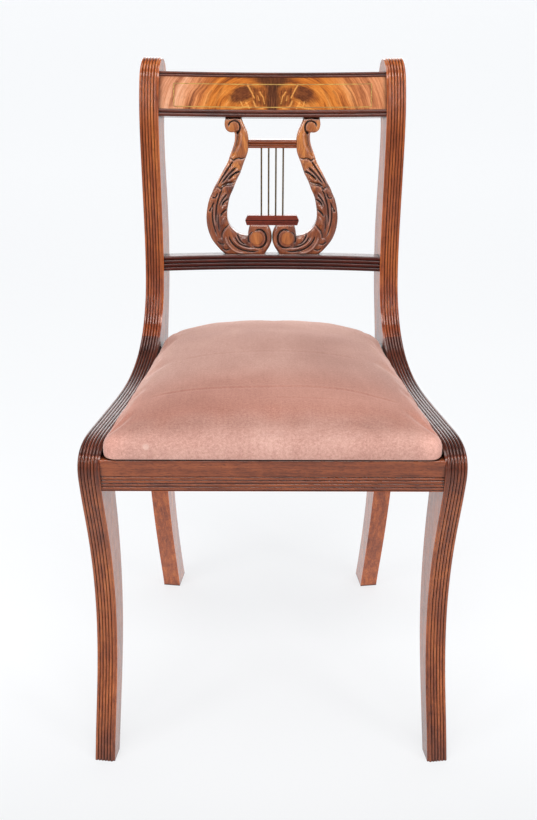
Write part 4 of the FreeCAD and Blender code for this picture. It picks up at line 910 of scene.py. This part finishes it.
def carved_arm(sign, name, grid=0.62):
    from mathutils.geometry import delaunay_2d_cdt
    outer, inner, vol = ARM_OUTER, ARM_INNER, ARM_VOLUTE
    a = catmull(outer, 0.6)
    b = catmull(inner, 0.6)
    v1, v2 = catmull(vol[:4], 0.6), catmull(vol[4:], 0.6)
    ring = np.vstack([a, np.array([vol[-1]]), v2[::-1], v1[::-1], b[::-1]])
    keep = [ring[0]]
    for p in ring[1:]:
        if np.linalg.norm(p - keep[-1]) > 0.22:
            keep.append(p)
    if np.linalg.norm(keep[0] - keep[-1]) < 0.22:
        keep.pop()
    # long straight runs get points too
    ring = []
    for i, p in enumerate(keep):
        q = keep[(i + 1) % len(keep)]
        n = max(1, int(np.linalg.norm(q - p) / 0.7))
        for k in range(n):
            ring.append(p + (q - p) * k / n)
    ring = np.array(ring)
    nb = len(ring)
    lo, hi = ring.min(0), ring.max(0)
    xs = np.arange(lo[0], hi[0], grid)
    zs = np.arange(lo[1], hi[1], grid * 0.866)
    gx, gz = np.meshgrid(xs, zs)
    gx = gx + (np.arange(len(zs)) % 2)[:, None] * grid * 0.5
    pts = np.column_stack([gx.ravel(), gz.ravel()])
    # inside test by crossing number
    ins = np.zeros(len(pts), bool)
    x, y = pts[:, 0], pts[:, 1]
    for i in range(nb):
        x1, y1 = ring[i]
        x2, y2 = ring[(i + 1) % nb]
        if y1 == y2:
            continue
        c = ((y1 > y) != (y2 > y)) & (x < (x2 - x1) * (y - y1) / (y2 - y1) + x1)
        ins ^= c
    pts = pts[ins]
    closed_ring = np.vstack([ring, ring[:1]])
    dist, _, _ = to_line(pts, closed_ring)
    ok = dist > grid * 0.42
    pts, dist = pts[ok], dist[ok]
    allp = np.vstack([ring, pts])
    res = delaunay_2d_cdt([Vector(p) for p in allp], [(i, (i + 1) % nb) for i in range(nb)], [], 1, 1e-5)
    P2 = np.array([v[:] for v in res[0]])
    tris = [tuple(f) for f in res[2]]
    # boundary vertices of the result
    count = {}
    for f in tris:
        for i in range(len(f)):
            e = (f[i], f[(i + 1) % len(f)])
            count[tuple(sorted(e))] = count.get(tuple(sorted(e)), 0) + 1
    rim_edges = [(f[i], f[(i + 1) % len(f)]) for f in tris for i in range(len(f)) if count[tuple(sorted((f[i], f[(i + 1) % len(f)])))] == 1]
    onrim = np.zeros(len(P2), bool)
    for e in rim_edges:
        onrim[list(e)] = True
    edge, _, _ = to_line(P2, closed_ring)
    edge[onrim] = 0.0
    # the flat under the bridge keeps its full height
    flat_bottom = (P2[:, 1] < 584.2)
    edge = np.where(flat_bottom, np.maximum(edge, 3.0 * smooth(584.2, 582.8, P2[:, 1])), edge)
    hf = carving_height(P2, edge)
    hb = 1.2 * (1.0 - np.sqrt(np.clip(1.0 - (1.0 - np.clip(edge / 2.2, 0, 1)) ** 2, 0, 1)))
    lean = math.radians(1.46)
    n2 = len(P2)
    verts = []

    def place(px, t, pz):
        """px, pz on the lyre's plane, t back from it, in mm; metres in the row frame."""
        h_ = pz - 583.3
        yy = 382.0 + h_ * math.sin(lean) + t * math.cos(lean)
        zz = 583.3 + h_ * math.cos(lean) - t * math.sin(lean)
        return (sign * px / 1000.0, yy / 1000.0 - YC, zz / 1000.0)

    for (px, pz), h in zip(P2, hf):
        verts.append(place(px, -h, pz))
    for (px, pz), h in zip(P2, hb):
        verts.append(place(px, 13.0 - h, pz))
    faces = []
    for f in tris:
        faces.append(f if sign < 0 else f[::-1])
        g_ = tuple(i + n2 for i in f)
        faces.append(g_[::-1] if sign < 0 else g_)
    # three rows between the front rim and the back rim
    rows = 4
    ids = {}
    for i in np.nonzero(onrim)[0]:
        i = int(i)
        ids[i, 0], ids[i, rows] = i, i + n2
        for k in range(1, rows):
            t = k / rows
            th = -hf[i] * (1 - t) + (13.0 - hb[i]) * t
            ids[i, k] = len(verts)
            verts.append(place(P2[i, 0], th, P2[i, 1]))
    for i, j in rim_edges:
        for k in range(rows):
            q = (ids[i, k], ids[j, k], ids[j, k + 1], ids[i, k + 1])
            faces.append(q)
    me = bpy.data.meshes.new(name)
    me.from_pydata(verts, [], faces)
    me.validate()
    bm = bmesh.new()
    bm.from_mesh(me)
    bmesh.ops.recalc_face_normals(bm, faces=bm.faces)
    bm.to_mesh(me)
    bm.free()
    for p in me.polygons:
        p.use_smooth = True
    o = bpy.data.objects.new(name, me)
    bpy.context.scene.collection.objects.link(o)
    return o


right_arm = carved_arm(1, "carved_arm_right")
left_arm = right_arm.copy()
left_arm.data = right_arm.data.copy()
left_arm.name = left_arm.data.name = "carved_arm_left"
bpy.context.scene.collection.objects.link(left_arm)
co = np.empty(len(left_arm.data.vertices) * 3)
left_arm.data.vertices.foreach_get("co", co)
co[0::3] *= -1.0
left_arm.data.vertices.foreach_set("co", co)
left_arm.data.flip_normals()
for sg, nm, arm in ((1, "right", right_arm), (-1, "left", left_arm)):
    arm.data.materials.append(carved_wood("carved_" + nm, (0.15 * sg, 0.0, 1.0), 12.0 + sg))
    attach(arm, "chair_frame")
    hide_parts("lyre_arm_" + nm)


# ------------------------------------------------------------------ floor and light
bm = bmesh.new()
bmesh.ops.create_grid(bm, x_segments=2, y_segments=2, size=60.0)
me = bpy.data.meshes.new("floor")
bm.to_mesh(me)
bm.free()
floor = bpy.data.objects.new("floor", me)
bpy.context.scene.collection.objects.link(floor)
floor.location.z = -0.0002
g = Mat("floor")
fy = g.vmath("DOT_PRODUCT", g.coords(), (0, 1, 0))
glow = g.math("ADD", g.step(fy, 0.6, 4.0, 0.0, 0.075), g.step(fy, -0.75, 0.1, 0.52, 0.765))
glow = g.math("MULTIPLY", glow, g.step(fy, -2.6, -1.2, 0.45, 1.0))
g.principled(Base_Color=(0.25, 0.254, 0.258), Roughness=0.8, Specular_IOR_Level=0.05, Emission_Color=(0.965, 0.98, 1.0), Emission_Strength=glow)
me.materials.append(g.m)

# a white room below eye level, dimmer overhead, so that gloss has something dark to show
world = bpy.data.worlds.new("studio")
bpy.context.scene.world = world
world.use_nodes = True
wt = world.node_tree
tc = wt.nodes.new("ShaderNodeTexCoord")
sep = wt.nodes.new("ShaderNodeSeparateXYZ")
mr = wt.nodes.new("ShaderNodeMapRange")
mr.interpolation_type = "SMOOTHSTEP"
mr.inputs["From Min"].default_value, mr.inputs["From Max"].default_value = 0.02, 0.40
mr.inputs["To Min"].default_value, mr.inputs["To Max"].default_value = 0.95, 0.16
# the white sweep behind the chair is the brightest part of the room
def ramp_(src, a, b, lo=0.0, hi=1.0):
    n_ = wt.nodes.new("ShaderNodeMapRange")
    n_.interpolation_type = "SMOOTHSTEP"
    n_.inputs["From Min"].default_value, n_.inputs["From Max"].default_value = a, b
    n_.inputs["To Min"].default_value, n_.inputs["To Max"].default_value = lo, hi
    wt.links.new(src, n_.inputs["Value"])
    return n_.outputs["Result"]


def times(a, b, op="MULTIPLY"):
    n_ = wt.nodes.new("ShaderNodeMath")
    n_.operation = op
    for sck, v_ in zip(n_.inputs, (a, b)):
        if isinstance(v_, float):
            sck.default_value = v_
        else:
            wt.links.new(v_, sck)
    return n_.outputs[0]


wt.links.new(tc.outputs["Generated"], sep.inputs[0])
sweep = times(ramp_(sep.outputs["Y"], 0.15, 0.80, 0.0, 1.9), ramp_(sep.outputs["Z"], 0.34, 0.60, 1.0, 0.0))
wt.links.new(sep.outputs["Z"], mr.inputs["Value"])
wt.nodes["Background"].inputs[0].default_value = (0.97, 0.985, 1.0, 1.0)
wt.links.new(times(mr.outputs["Result"], sweep, "ADD"), wt.nodes["Background"].inputs[1])


def area(name, loc, target, size, power, col=(1, 1, 1)):
    l = bpy.data.lights.new(name, "AREA")
    l.shape = "RECTANGLE"
    l.size, l.size_y = size
    l.energy = power
    l.color = col
    o = bpy.data.objects.new(name, l)
    bpy.context.scene.collection.objects.link(o)
    o.location = loc
    o.rotation_euler = (Vector(target) - Vector(loc)).to_track_quat("-Z", "Y").to_euler()
    return o


def around(az, el, dist, z=0.5):
    az, el = math.radians(az), math.radians(el)
    return (dist * math.sin(az) * math.cos(el), -dist * math.cos(az) * math.cos(el), z + dist * math.sin(el))


area("overhead", (0.1, -0.3, 2.9), (0, 0.1, 0.4), (1.8, 1.2), 28.0, (1.0, 0.985, 0.965))
area("front", around(-4, 50, 3.0), (0, 0, 0.5), (3.2, 0.55), 48.0, (1.0, 0.985, 0.97))
area("strip_left", around(-54, 22, 3.0), (0, 0, 0.5), (0.8, 1.0), 19.0, (1.0, 0.99, 0.975))
area("strip_right", around(52, 22, 3.0), (0, 0, 0.5), (0.8, 1.0), 17.0, (1.0, 0.99, 0.975))

sc = bpy.context.scene
sc.view_settings.view_transform = "Standard"
sc.view_settings.look = "None"
